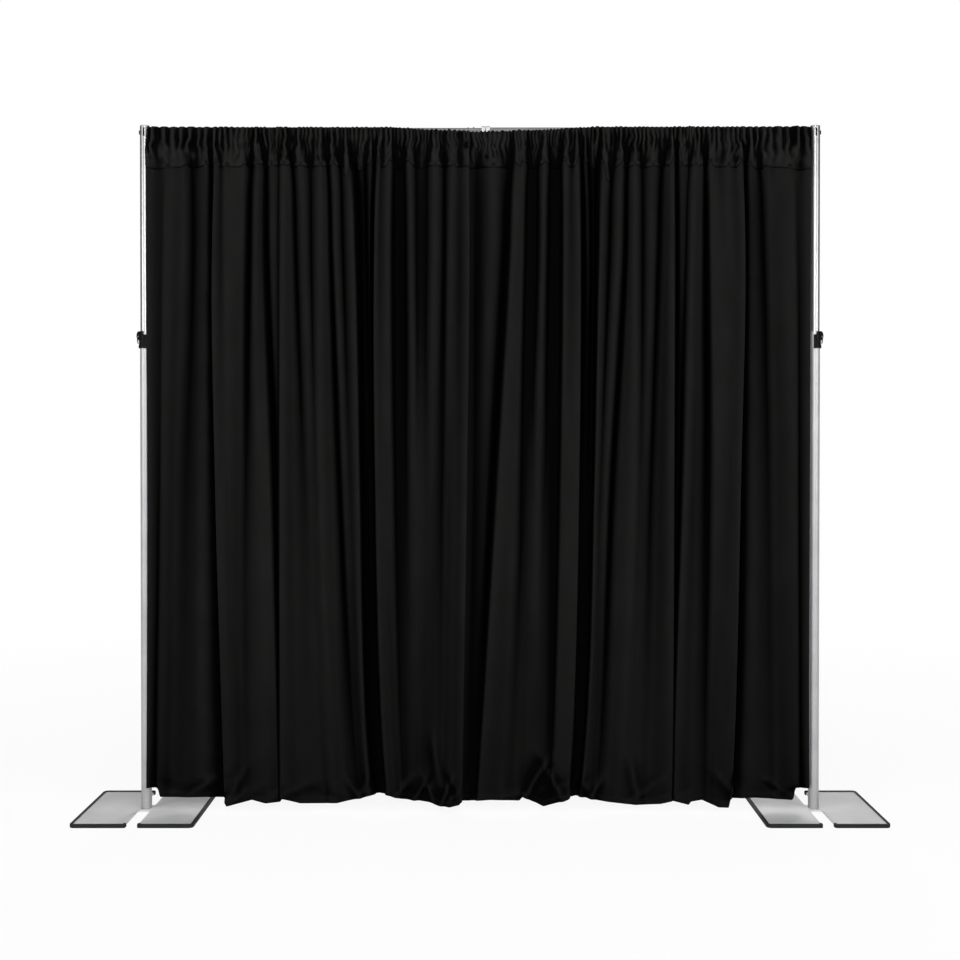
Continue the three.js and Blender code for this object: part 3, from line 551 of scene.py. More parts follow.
def addTrim(side, place, spin):
    outer, inner = baseTrim["gap"] + baseTrim["wall"], baseTrim["gap"] + baseTrim["wall"] - baseTrim["lip"]
    low, high = basePlate["low"], basePlate["low"] + basePlate["thickness"]
    gap = baseTrim["gap"]
    outside = softCorners([(outer, 0), (outer, baseTrim["height"]), (inner, baseTrim["height"])],
                          baseTrim["round"], closed=False)[1:]
    section = [(outer - 1.2, 0.0), (outer, 1.2)] + [tuple(p) for p in outside]
    section += [(inner, high + gap), (gap, high + gap), (gap, low - gap), (inner, low - gap), (inner, 0.0)]
    path = trimPath()
    points, faces = [], []
    for (x, y), (wayX, wayY) in path:
        for reach, height in section:
            points.append(((x + wayX * reach) * mm, (y + wayY * reach) * mm, height * mm))
    count = len(section)
    for i in range(len(path) - 1):
        for k in range(count):
            after = (k + 1) % count
            faces.append([i * count + k, i * count + after, (i + 1) * count + after, (i + 1) * count + k])
    faces.append(list(range(count)))
    faces.append([(len(path) - 1) * count + k for k in range(count)])
    name = f"{side}{place.capitalize()}Trim"
    piece = softened(faceOut(addPiece(name, points, faces)), 0)
    stand(side, turned(piece, Matrix.Rotation(spin, 4, "Z")))
    fit(piece, f"{side}_base", finishes["edgeTrimRubber"], "edge_rubber", f"{side}_base_trim_{place}")


tubes = {
    "lowerRadius": 19.05, "lowerBore": 17.8, "lowerBottom": 9.95, "lowerTop": 1700,
    "upperRadius": 17.45, "upperBore": 16.2, "upperBottom": 1450, "upperTop": 2494.5,
    "slotWidth": 6, "slotEnd": 3.7, "slotHeight": 31, "slotInset": 6.5,
    "screwHole": 2.3, "screwHoleRise": 1694, "steps": 72,
}
basePin = {"radius": 16.5, "bore": 4.4, "bottom": 9.95, "height": 76, "chamfer": 4}
topCap = {"insert": 15.9, "insertDepth": 5, "seat": 2494.8, "rise": 2.5, "round": 1.6}


def addBasePin(side):
    top, radius, ease = basePin["bottom"] + basePin["height"], basePin["radius"], basePin["chamfer"]
    profile = [(basePin["bore"], basePin["bottom"]), (radius, basePin["bottom"]), (radius, top - ease),
               (radius - ease, top), (basePin["bore"], top)]
    piece = lathe(f"{side}BasePin", profile, 48, 0.8)
    stand(side, softened(piece, 0))
    fit(piece, f"{side}_base", finishes["zincPlate"], "zinc_hardware", f"{side}_base_pin")


def addLowerTube(side):
    piece = pipe(f"{side}LowerTube", tubes["lowerBore"], tubes["lowerRadius"], tubes["lowerBottom"],
                 tubes["lowerTop"], tubes["steps"])
    hole = pointOut(peg("hole", tubes["screwHole"], 14, 24), tubes["screwHoleRise"])
    stand(side, softened(carve(piece, hole), 0))
    fit(piece, f"{side}_post", finishes["tubeUpright"], "tube_metal", f"{side}_lower_tube")


def slotCutter(spin):
    top = tubes["upperTop"] - tubes["slotInset"]
    ends = [top - tubes["slotHeight"] + tubes["slotEnd"], top - tubes["slotEnd"]]
    half, reach = tubes["slotWidth"] / 2, 24
    cutter = box("slot", (-half, -reach, ends[0]), (half, reach, ends[1]))
    drills = [turned(peg("drill", tubes["slotEnd"], -reach, reach), Matrix.Rotation(math.pi / 2, 4, "X"),
                     Matrix.Translation((0, 0, z * mm))) for z in ends]
    return turned(carve(cutter, *drills, way="UNION"), Matrix.Rotation(spin, 4, "Z"))


def addUpperTube(side):
    piece = pipe(f"{side}UpperTube", tubes["upperBore"], tubes["upperRadius"], tubes["upperBottom"],
                 tubes["upperTop"], tubes["steps"], 0.25)
    carve(piece, slotCutter(0), slotCutter(math.pi / 2))
    stand(side, softened(piece, 0.25 * mm))
    fit(piece, f"{side}_mast", finishes["tubePolished"], "tube_metal",
        f"{side}_upper_tube", f"{side}_slotted_head")


def addTopCap(side):
    seat, radius = topCap["seat"], tubes["upperRadius"]
    low, high = seat - 0.3 - topCap["insertDepth"], seat + topCap["rise"]
    profile = [(0, low), (topCap["insert"], low), (topCap["insert"], seat),
               (radius, seat), (radius, high), (0, high)]
    piece = lathe(f"{side}TopCap", profile, 64, topCap["round"])
    stand(side, softened(piece, 0))
    fit(piece, f"{side}_mast", finishes["castAlloy"], "cast_metal", f"{side}_top_cap")


# Clutch at the joint of the two tubes

clutch = {
    "bottom": 1688, "height": 62, "split": 8.5, "gap": 0.3, "boreLow": 19.35, "boreHigh": 17.75,
    "step": 1700.3, "collarRadius": 22, "shellRadius": 22.8, "footRadius": 24.2, "footHeight": 14, "edge": 1.25,
    "shoulder": 12, "hoodStart": 5, "recess": 21.6, "sill": 34, "windowHeight": 13.5, "windowWidth": 10,
    "slitWidth": 3.6, "mullion": 1.6, "earGap": 12.4, "earThickness": 4.4, "earReach": 5.2, "earDrop": 13.5,
    "camSpaceDrop": 9.8, "pinRadius": 1.6, "pinRise": 43, "pinPlace": 24.85, "leverPin": 1.45,
    "screwRise": 6, "round": 0.45,
}


def clutchRing(name, radius, footRadius):
    low, high = clutch["bottom"], clutch["bottom"] + clutch["height"]
    foot, edge = low + clutch["footHeight"], clutch["edge"]
    profile = [(clutch["boreLow"], low), (footRadius - edge, low), (footRadius, low + edge),
               (footRadius, foot - edge), (radius, foot), (radius, high - edge), (radius - edge, high),
               (clutch["boreHigh"], high), (clutch["boreHigh"], clutch["step"]),
               (clutch["boreLow"], clutch["step"])]
    return lathe(name, profile, 64, 0.3)


def crossRod(name, radius, half, place):
    rod = peg(name, radius, -half, half)
    return turned(rod, Matrix.Rotation(math.pi / 2, 4, "X"), Matrix.Translation(Vector(place) * mm))


def addClutchCollar(side):
    low, high = clutch["bottom"] - 5, clutch["bottom"] + clutch["height"] + 5
    piece = clutchRing(f"{side}ClutchCollar", clutch["collarRadius"], clutch["collarRadius"])
    halfCut = box("cut", (-clutch["split"] - clutch["gap"] / 2, -40, low), (40, 40, high))
    hole = pointOut(peg("hole", tubes["screwHole"], 15, 30), clutch["bottom"] + clutch["screwRise"])
    stand(side, softened(carve(piece, halfCut, hole), 0.35 * mm))
    fit(piece, f"{side}_post", finishes["castAlloy"], "cast_metal", f"{side}_clutch_collar")


def earOutline():
    hub, top = clutch["pinPlace"] + clutch["earReach"], clutch["bottom"] + clutch["height"]
    pin, inner = clutch["bottom"] + clutch["pinRise"], clutch["collarRadius"] - clutch["earThickness"]
    low, reach = pin - clutch["earDrop"], clutch["earReach"]
    bends = [(clutch["pinPlace"] - reach / 2, top), (hub, top - reach / 2), (hub, pin), (hub, pin - reach),
             (clutch["shellRadius"], low)]
    bends = [Vector(bend) for bend in bends]
    outline = [(inner, top), tuple(bends[0])]
    for a, b, c in (bends[:3], bends[2:]):
        for t in (0.2, 0.4, 0.6, 0.8, 1.0):
            outline.append(tuple(a * (1 - t) ** 2 + b * 2 * t * (1 - t) + c * t * t))
    return [(x * mm, z * mm) for x, z in outline + [(inner, low)]]


def addClutchShell(side):
    low, high = clutch["bottom"] - 5, clutch["bottom"] + clutch["height"] + 5
    pin, gap, earGap = clutch["bottom"] + clutch["pinRise"], clutch["gap"], clutch["earGap"]
    piece = clutchRing(f"{side}ClutchShell", clutch["shellRadius"], clutch["footRadius"])
    ears = []
    for way in (-1, 1):
        ear = slab("ear", earOutline(), -clutch["earThickness"] / 2 * mm, clutch["earThickness"] / 2 * mm)
        middle = way * (earGap + clutch["earThickness"]) / 2 * mm
        ears.append(turned(ear, Matrix.Rotation(math.pi / 2, 4, "X"), Matrix.Translation((0, middle, 0))))
    carve(piece, *ears, way="UNION")
    sill, windowEnd = clutch["bottom"] + clutch["sill"], clutch["windowWidth"] - clutch["split"]
    slit, lintel = windowEnd + clutch["mullion"], sill + clutch["windowHeight"]
    carve(
        piece,
        box("inner", (-40, -40, low), (-clutch["split"] + gap / 2, 40, high)),
        box("shoulder", (-39, -39, high - 5 - clutch["shoulder"]), (clutch["hoodStart"], 39, high + 1)),
        box("window", (-clutch["split"] / 2, -38, sill), (windowEnd, -clutch["recess"], lintel)),
        box("window", (-clutch["split"] / 2, clutch["recess"], sill), (windowEnd, 38, lintel)),
        box("slit", (slit, -38, sill), (slit + clutch["slitWidth"], 38, lintel)),
        box("cam", (0, -earGap / 2, pin - clutch["camSpaceDrop"]), (40, earGap / 2, high + 2)),
        peg("bore", clutch["boreHigh"], clutch["step"], high + 3, 64),
        crossRod("pin", clutch["pinRadius"] + gap, 20, (clutch["pinPlace"], 0, pin)),
    )
    stand(side, softened(piece, clutch["round"] * mm))
    fit(piece, f"{side}_post", finishes["blackMouldedPlastic"], "black_plastic", f"{side}_clutch_shell")


def addClutchSmallParts(side):
    lever = fromSolid(f"{side}ClutchLever", f"{side}_clutch_lever", 0.45 * mm)
    fit(lever, f"{side}_lever", finishes["blackMouldedPlastic"], "black_plastic", f"{side}_clutch_lever")
    half = clutch["earGap"] / 2 + clutch["earThickness"] + 0.3
    place = (clutch["pinPlace"], 0, clutch["bottom"] + clutch["pinRise"])
    pin = stand(side, softened(crossRod(f"{side}ClutchPin", clutch["leverPin"], half, place), 0.3 * mm))
    fit(pin, f"{side}_post", finishes["zincPlate"], "zinc_hardware", f"{side}_clutch_pin")
    head = [(0, 18.1), (2, 18.1), (2, 22.3), (3.6, 22.3), (3.45, 23.5), (2.8, 23.9), (0, 23.9)]
    screw = carve(lathe(f"{side}ClutchScrew", head, 32, 0.3), peg("socket", 1.35, 22.8, 26, 6))
    stand(side, softened(pointOut(screw, clutch["bottom"] + clutch["screwRise"]), 0))
    fit(screw, f"{side}_post", finishes["zincPlate"], "zinc_hardware", f"{side}_clutch_screw")
    pad = fromSolid(f"{side}ClutchPad", f"{side}_clutch_pad", 0.3 * mm)
    fit(pad, f"{side}_post", finishes["padRubber"], "pad_rubber", f"{side}_clutch_pad")


for side in sides:
    addBasePlate(side)
    addTrim(side, "outer", 0)
    addTrim(side, "inner", math.pi)
    addBasePin(side)
    addLowerTube(side)
    addUpperTube(side)
    addTopCap(side)
    addClutchCollar(side)
    addClutchShell(side)
    addClutchSmallParts(side)
    print(side, "base and upright made")

# Crossbar, drawn along Z and then laid along X

crossbar = {
    "height": 2475, "innerRadius": 14.3, "innerBore": 12.65, "outerRadius": 15.875, "outerBore": 14.625,
    "end": 1190.2, "innerEnd": 802, "outerStart": 22, "pinInset": 20, "pinRadius": 2.5,
    "buttonPlace": -23, "buttonHole": 3.1, "rivetPlace": -43, "rivetHole": 1.9,
}
lockParts = {"start": 5.5, "width": 14.8, "slit": 1.4, "radius": 20.5, "grip": 2.4, "lip": 2, "edge": 1.1}
layAlongX = Matrix.Rotation(math.pi / 2, 4, "Y")
raiseToBar = Matrix.Translation((0, 0, crossbar["height"] * mm))


def barPinHole(way):
    place = (way * (crossbar["end"] - crossbar["pinInset"]), 0, 0)
    return crossRod("hole", crossbar["pinRadius"], 30, place)


def addInnerTube():
    piece = pipe("crossbarInnerTube", crossbar["innerBore"], crossbar["innerRadius"],
                 -crossbar["end"], crossbar["innerEnd"])
    turned(piece, layAlongX)
    holes = [barPinHole(-1)]
    for part in ("button", "rivet"):
        place = Matrix.Translation((crossbar[part + "Place"] * mm, 0, 0))
        holes.append(turned(peg("hole", crossbar[part + "Hole"], 5, 30), place))
    turned(softened(carve(piece, *holes), 0), raiseToBar)
    fit(piece, "bar_inner", finishes["tubeCrosswaysPaintedShade"], "tube_metal", "crossbar_inner_tube")


def addOuterTube():
    piece = pipe("crossbarOuterTube", crossbar["outerBore"], crossbar["outerRadius"],
                 crossbar["outerStart"], crossbar["end"])
    turned(softened(carve(turned(piece, layAlongX), barPinHole(1)), 0), raiseToBar)
    fit(piece, "bar_outer", finishes["tubeCrosswaysPaintedShade"], "tube_metal", "crossbar_outer_tube")


def addBarRing(name, profile, body, node):
    piece = lathe(name, profile, 72, lockParts["edge"])
    turned(softened(turned(piece, layAlongX), 0), raiseToBar)
    fit(piece, body, finishes["castAlloy"], "cast_metal", node)


def addLock():
    start, end = lockParts["start"], lockParts["start"] + lockParts["width"]
    radius, lip = lockParts["radius"], crossbar["innerRadius"] + 0.3
    bore = lip + lockParts["grip"] + 0.3
    ring = [(lip, start), (radius, start), (radius, end), (bore, end), (bore, start + lockParts["lip"]),
            (lip, start + lockParts["lip"])]
    addBarRing("spanLockRing", ring, "lock_ring", "span_lock_ring")
    start = end + lockParts["slit"]
    end = start + lockParts["width"]
    bore = crossbar["outerRadius"] + 0.3
    sleeve = [(bore, start), (radius, start), (radius, end), (bore, end)]
    addBarRing("spanFerrule", sleeve, "bar_outer", "span_ferrule")


def addBarSmallParts():
    for side, body in (("left", "bar_inner"), ("right", "bar_outer")):
        for kind, finish, slot, round in (("plug", "blackMouldedPlastic", "black_plastic", 0.5),
                                          ("hook", "blackenedSteel", "black_steel", 0.5),
                                          ("pin", "zincPlate", "zinc_hardware", 0.3)):
            node = f"crossbar_{kind}_{side}"
            piece = fromSolid(f"{side}Bar{kind.capitalize()}", node, round * mm)
            fit(piece, body, finishes[finish], slot, node)
    for name, node, round, body in (("springButton", "snap_button", 0.4, "spring_button"),
                                    ("springRivet", "snap_spring_rivet", 0.25, "bar_inner")):
        fit(fromSolid(name, node, round * mm), body, finishes["blackenedSteel"], "black_steel", node)
    spring = fromSolid("buttonSpring", "snap_spring", 0.1 * mm)
    spring.data.materials.clear()
    spring.data.materials.append(finishes["zincPlate"])
    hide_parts("snap_spring")
    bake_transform(spring)


addInnerTube()
addOuterTube()
addLock()
addBarSmallParts()
print("crossbar made")

# Drapes: each panel is one cloth, with a pocket round the bar and a skirt of folds below the stitch line

levels = (2341, 2033, 1190, 346, 26)  # heights at which the folds' places and depths are given
foldLines = {
    1: [
        ((-1210, -1210, -1207, -1211, -1214), (27, 27, 28, 29, 29)),
        ((-1151, -1158, -1168, -1183, -1188), (8, 7, 5, 3, 1)),
        ((-1134, -1141, -1153, -1168, -1173), (7, 11, 11, 10, 9)),
        ((-1077, -1084, -1116, -1128, -1134), (6, 8, 7, 5, 4)),
        ((-1048, -1045, -1070, -1075, -1080), (-4, -5, -4, -2, -1)),
        ((-994, -998, -1006, -1010, -1010), (5, 6, 5, 4, 4)),
        ((-978, -969, -956, -934, -925), (-4, -13, -14, -12, -9)),
        ((-957, -971, -961, -939, -930), (5, 13, 15, 13, 11)),
        ((-940, -942, -934, -919, -912), (-1, 9, 13, 12, 10)),
        ((-922, -919, -915, -905, -898), (5, 14, 14, 12, 10)),
        ((-861, -865, -876, -875, -868), (6, 12, 11, 9, 8)),
        ((-831, -841, -853, -848, -836), (-5, -8, 2, 3, 4)),
        ((-807, -816, -804, -780, -772), (6, 9, 8, 7, 6)),
        ((-794, -797, -772, -746, -738), (4, 6, 6, 5, 4)),
        ((-780, -779, -748, -735, -733), (-5, -14, -16, -11, -9)),
        ((-758, -755, -740, -733, -731), (3, 2, -13, -13, -12)),
        ((-718, -716, -706, -703, -701), (-7, -16, -18, -17, -16)),
    ],
    2: [
        ((-736, -740, -738, -738, -738), (-1, -7, -8, -7, -6)),
        ((-713, -718, -725, -725, -725), (5, 9, 10, 9, 8)),
        ((-698, -691, -682, -671, -659), (5, 7, 8, 7, 6)),
        ((-681, -672, -642, -605, -571), (-5, -6, -1, 2, 3)),
        ((-652, -639, -613, -581, -554), (5, 6, 5, 5, 4)),
        ((-617, -615, -598, -568, -544), (-4, -2, 2, 3, 3)),
        ((-580, -580, -580, -554, -531), (6, 8, 9, 7, 6)),
        ((-564, -558, -544, -520, -500), (4, 6, 6, 6, 5)),
        ((-553, -542, -512, -470, -446), (-5, -8, -8, -3, 0)),
        ((-532, -524, -490, -450, -426), (5, 9, 8, 6, 5)),
        ((-507, -499, -473, -440, -416), (-4, -1, 5, 5, 4)),
        ((-480, -460, -441, -423, -401), (6, 11, 13, 12, 9)),
        ((-455, -443, -429, -409, -379), (-5, -20, -22, -20, -14)),
        ((-433, -423, -414, -396, -367), (2, -10, -17, -17, -12)),
        ((-418, -413, -406, -387, -360), (-5, -16, -18, -18, -12)),
        ((-397, -402, -399, -382, -355), (4, 2, -15, -17, -12)),
        ((-384, -391, -389, -372, -347), (-5, -20, -22, -18, -12)),
        ((-370, -381, -377, -354, -333), (4, 12, 14, 12, 9)),
        ((-359, -364, -355, -333, -313), (-2, 8, 12, 10, 8)),
        ((-328, -332, -327, -308, -288), (6, 12, 12, 10, 8)),
        ((-310, -311, -305, -291, -276), (-6, -15, -4, 0, 2)),
        ((-279, -278, -273, -268, -264), (-6, -17, -9, -3, 0)),
        ((-257, -252, -244, -246, -247), (6, 7, 0, 0, 0)),
        ((-232, -230, -227, -230, -234), (-3, -4, -2, -1, 0)),
        ((-195, -198, -203, -214, -219), (-3, -5, -3, 0, 1)),
        ((-163, -165, -173, -185, -193), (6, 8, 4, 4, 4)),
        ((-128, -129, -139, -151, -161), (-4, -3, 2, 5, 5)),
        ((-95, -107, -116, -128, -134), (5, 11, 13, 12, 10)),
        ((-75, -77, -85, -97, -106), (2, 8, 13, 12, 10)),
        ((-40, -38, -47, -60, -65), (5, 16, 20, 18, 14)),
    ],
    3: [
        ((-74, -111, -128, -144, -156), (-4, -14, -17, -16, -13)),
        ((-21, -21, -25, -48, -69), (-4, -14, -17, -15, -11)),
        ((50, 50, 23, -15, -36), (6, 1, -5, -7, -6)),
        ((114, 97, 48, 1, -20), (-4, -11, -14, -11, -8)),
        ((134, 120, 70, 16, -6), (4, 13, 13, 12, 10)),
        ((157, 151, 124, 87, 66), (6, 12, 12, 10, 8)),
        ((178, 171, 154, 134, 120), (-5, -11, -3, 1, 2)),
        ((208, 206, 184, 168, 154), (-5, -12, -5, -1, 1)),
        ((235, 230, 211, 195, 178), (5, 4, 0, 1, 2)),
        ((259, 255, 242, 225, 208), (-6, -17, -9, -3, 0)),
        ((292, 292, 282, 265, 252), (-6, -17, -9, -2, 1)),
        ((308, 308, 299, 282, 270), (6, 13, 14, 12, 9)),
        ((335, 330, 323, 306, 292), (-2, 9, 13, 11, 9)),
        ((355, 362, 358, 338, 319), (6, 13, 14, 12, 9)),
        ((372, 373, 367, 350, 331), (-5, -20, -21, -20, -14)),
        ((383, 392, 387, 363, 340), (4, 2, -16, -17, -12)),
        ((397, 407, 399, 373, 348), (-4, -19, -21, -19, -13)),
        ((410, 416, 405, 378, 353), (3, -14, -19, -18, -12)),
        ((427, 424, 410, 385, 358), (-5, -20, -20, -17, -12)),
        ((451, 437, 419, 395, 367), (5, 12, 13, 11, 8)),
        ((483, 471, 439, 414, 390), (-4, -1, 6, 7, 6)),
        ((512, 503, 458, 427, 407), (6, 11, 10, 7, 6)),
        ((534, 530, 481, 448, 429), (-5, -8, -8, -3, 0)),
        ((550, 545, 515, 486, 468), (4, 6, 6, 5, 4)),
        ((562, 562, 559, 529, 505), (6, 9, 9, 7, 6)),
        ((591, 593, 586, 559, 537), (-4, -2, 1, 2, 3)),
        ((628, 623, 603, 583, 566), (5, 6, 4, 5, 4)),
        ((663, 652, 625, 601, 586), (-5, -7, -3, 2, 3)),
        ((680, 677, 652, 630, 615), (4, 7, 7, 6, 5)),
        ((699, 702, 702, 701, 697), (6, 12, 14, 12, 9)),
        ((714, 717, 714, 709, 706), (-4, -14, -18, -16, -12)),
        ((734, 731, 724, 714, 711), (4, 3, -10, -13, -10)),
        ((776, 770, 758, 739, 736), (-6, -17, -20, -19, -16)),
    ],
    4: [
        ((758, 744, 728, 704, 697), (-1, -7, -9, -9, -8)),
        ((782, 771, 746, 716, 711), (5, 10, 11, 9, 7)),
        ((803, 797, 783, 768, 763), (5, 8, 8, 6, 5)),
        ((820, 824, 829, 822, 815), (-4, -13, -4, 1, 2)),
        ((837, 842, 856, 847, 839), (5, 12, 13, 11, 9)),
        ((871, 873, 879, 869, 859), (0, 12, 13, 11, 9)),
        ((903, 905, 905, 891, 878), (6, 13, 14, 12, 10)),
        ((923, 927, 923, 910, 896), (1, 13, 15, 13, 10)),
        ((948, 960, 945, 928, 916), (6, 16, 18, 15, 12)),
        ((964, 959, 947, 932, 915), (-4, -14, -15, -14, -9)),
        ((982, 984, 986, 977, 967), (5, 6, 5, 3, 3)),
        ((1019, 1033, 1051, 1056, 1058), (-4, -5, -4, -3, -2)),
        ((1048, 1060, 1082, 1088, 1094), (5, 6, 4, 3, 3)),
        ((1127, 1136, 1146, 1154, 1159), (7, 11, 11, 10, 9)),
        ((1146, 1156, 1163, 1169, 1173), (7, 6, 4, 2, 1)),
        ((1200, 1198, 1197, 1197, 1199), (27, 27, 27, 26, 25)),
    ],
}
hemLine = [
    (-1214, 85), (-1176, 84), (-1167, 51), (-937, 47), (-924, 15), (-832, 39), (-782, 26), (-732, 31),
    (-723, 43), (-656, 26), (-522, 26), (-376, 60), (-364, 64), (-288, 43), (-188, 31), (-112, 12),
    (-74, 22), (-70, 32), (37, 39), (144, 36), (153, 51), (232, 14), (299, 35), (349, 51),
    (467, 31), (567, 20), (659, 24), (706, 35), (764, 20), (768, 32), (810, 39), (869, 12),
    (907, 11), (911, 43), (1003, 47), (1141, 39), (1153, 81), (1199, 83),
]
crumples = [  # place along the drape and height, direction in degrees, length, width, depth
    (-222, 66, 52, 62, 10, 8), (-196, 92, 62, 50, 9, -7), (-176, 60, 118, 54, 10, 8),
    (-128, 62, 64, 60, 10, 9), (-108, 92, 118, 52, 9, -8), (-92, 52, 30, 46, 10, 9),
    (-285, 80, 48, 70, 11, 6), (-160, 190, 98, 90, 12, 5), (-420, 96, 62, 70, 12, 5),
    (-452, 70, 128, 50, 10, 6), (-386, 52, 20, 60, 9, 6), (120, 62, 8, 80, 9, 7),
    (190, 96, 62, 70, 12, 8), (222, 150, 52, 60, 12, 9), (262, 120, 118, 80, 12, 8),
    (250, 66, 40, 60, 10, -7), (330, 72, 52, 66, 11, 7), (380, 66, 118, 50, 10, -6),
    (418, 72, 60, 50, 10, 7), (618, 90, 35, 90, 14, 5), (664, 60, 12, 80, 10, -4),
    (560, 120, 100, 70, 14, 4), (-690, 74, 20, 110, 14, 5), (-560, 66, 160, 70, 11, -4),
    (-860, 62, 22, 60, 10, 5), (-882, 110, 60, 60, 12, 4), (-1060, 78, 12, 90, 12, 7),
    (-1122, 98, 160, 40, 8, -6), (-1010, 92, 32, 90, 12, 6), (-930, 60, 8, 70, 10, -5),
    (980, 72, 170, 100, 12, 6), (905, 96, 140, 80, 12, 5), (1085, 92, 150, 60, 11, 6),
    (1130, 74, 20, 50, 9, -6),
]
drape = {
    "barTop": 2490.875, "barAxis": 2475, "stitch": 2340.875, "thickness": 0.7, "column": 2.6, "rowsDown": 128,
    "innerTop": 2489.6, "outerTop": 2491.2, "standOff": 18.2, "lockStandOff": 22.4, "headRows": 26,
    "overRows": 6, "foldScale": 1.9, "topShare": 0.45, "roundness": 0.72, "ridgeLift": 24, "tuck": 14,
    "layerGap": 0.9, "drift": 2.6, "ripple": 0.35, "hemBand": 20, "hemThickness": 0.5, "backTail": 5,
    "strongFold": 15, "faintFold": 0.4, "crumple": 2.2, "headroom": 6.4, "lap": 2.2, "lapReach": 24,
    "upperEdges": {2: (0, -1), 4: (0,)}, "tuckedShare": 0.85, "edgeDepth": 20.5, "openDepth": 24,
    "flatWidth": {1: 0.76, 2: 1.08, 3: 1.28, 4: 0.73}, "skirtLength": 2.33, "pocketLength": 0.33,
    "keep": 0.722,
}
# of these, the pocket's brightening is painted light: its cloth is made brighter where it stands forward
gathers = {
    "fine": 14, "broad": 30, "broadFrom": 830, "broadTo": 1130, "depth": 0.52, "swell": 2.6, "ruffle": 0.42,
    "ruffleMost": 7, "below": 0.3, "fade": 30, "warp": 13, "pucker": 3.4, "pinch": 6.5, "pinchRise": 9,
    "strokes": 1.3, "calm": 0.8, "paintedLightShare": 1.45,
}
seamDips = [  # place, drop and half width of the low tucks
    (-481, 50, 15), (467, 56, 14), (-437, 14, 9), (520, 10, 10), (-1180, 8, 55), (1004, 7, 24),
    (1168, 13, 50),
]
openTop = [(-345, 0.04), (-190, 0.6), (0, 1.0), (238, 0.62), (433, 0.04)]  # where the pocket is open, its sag


def easeThrough(places, values, z):  # a smooth curve through one fold's values at the given heights
    places, values = np.asarray(places, float)[::-1], np.asarray(values, float)[..., ::-1]
    spans = np.diff(places)
    rises = np.diff(values, axis=-1) / spans
    slopes = np.empty_like(values)
    slopes[..., 1:-1] = (rises[..., 1:] + rises[..., :-1]) / 2
    slopes[..., 0], slopes[..., -1] = rises[..., 0], rises[..., -1] * 2.4
    i = np.clip(np.searchsorted(places, z) - 1, 0, len(spans) - 1)
    t = np.clip((z - places[i]) / spans[i], 0, 1)
    span = spans[i]
    start, end = values[..., i], values[..., i + 1]
    return ((2 * t**3 - 3 * t**2 + 1) * start + (t**3 - 2 * t**2 + t) * span * slopes[..., i]
            + (3 * t**2 - 2 * t**3) * end + (t**3 - t**2) * span * slopes[..., i + 1])


def clouds(a, b, c=0.0):  # smooth noise at every pair of places
    return np.array([noise.noise(Vector((float(u), float(v), c))) for u, v in np.broadcast(a, b)])


def spread(values, reach):  # a running mean over the neighbours
    kernel = np.hanning(2 * reach + 3)[1:-1]
    return np.convolve(np.pad(values, reach, mode="edge"), kernel / kernel.sum(), "valid")


def paintedHollowShade(x, forward, reach, deep):  # painted shade: 1 where the cloth stands forward, down to 0 in its hollows
    order = np.argsort(x)
    places = np.arange(x.min(), x.max() + 3, 3.0)
    line = np.interp(places, x[order], forward[order])
    steps = int(reach / 3)
    padded = np.pad(line, steps, mode="edge")
    crest = np.max([padded[k:k + len(line)] for k in range(2 * steps + 1)], axis=0)
    crest = spread(crest, steps)
    return 1 - np.clip((np.interp(x, places, crest) - forward) / deep, 0, 1)


def paintedFoldShade(line, side):  # painted shade: the share of the cloth's colour that shows on its front (-1) or its back (1), darker in the folds' hollows, in the crumples near the hem, and towards the bottom
    x, forward, height = line[:, 0], side * line[:, 1], line[:, 2]
    low = np.clip((900 - height) / 900, 0, 1)
    near = np.clip((260 - height) / 160, 0, 1)
    shade = paintedHollowShade(x, forward, 46, 36) * paintedHollowShade(x, forward, 18, 15) * (1 - 0.38 * low)
    return shade * (1 - near * (1 - paintedHollowShade(x, forward, 9, 8)))


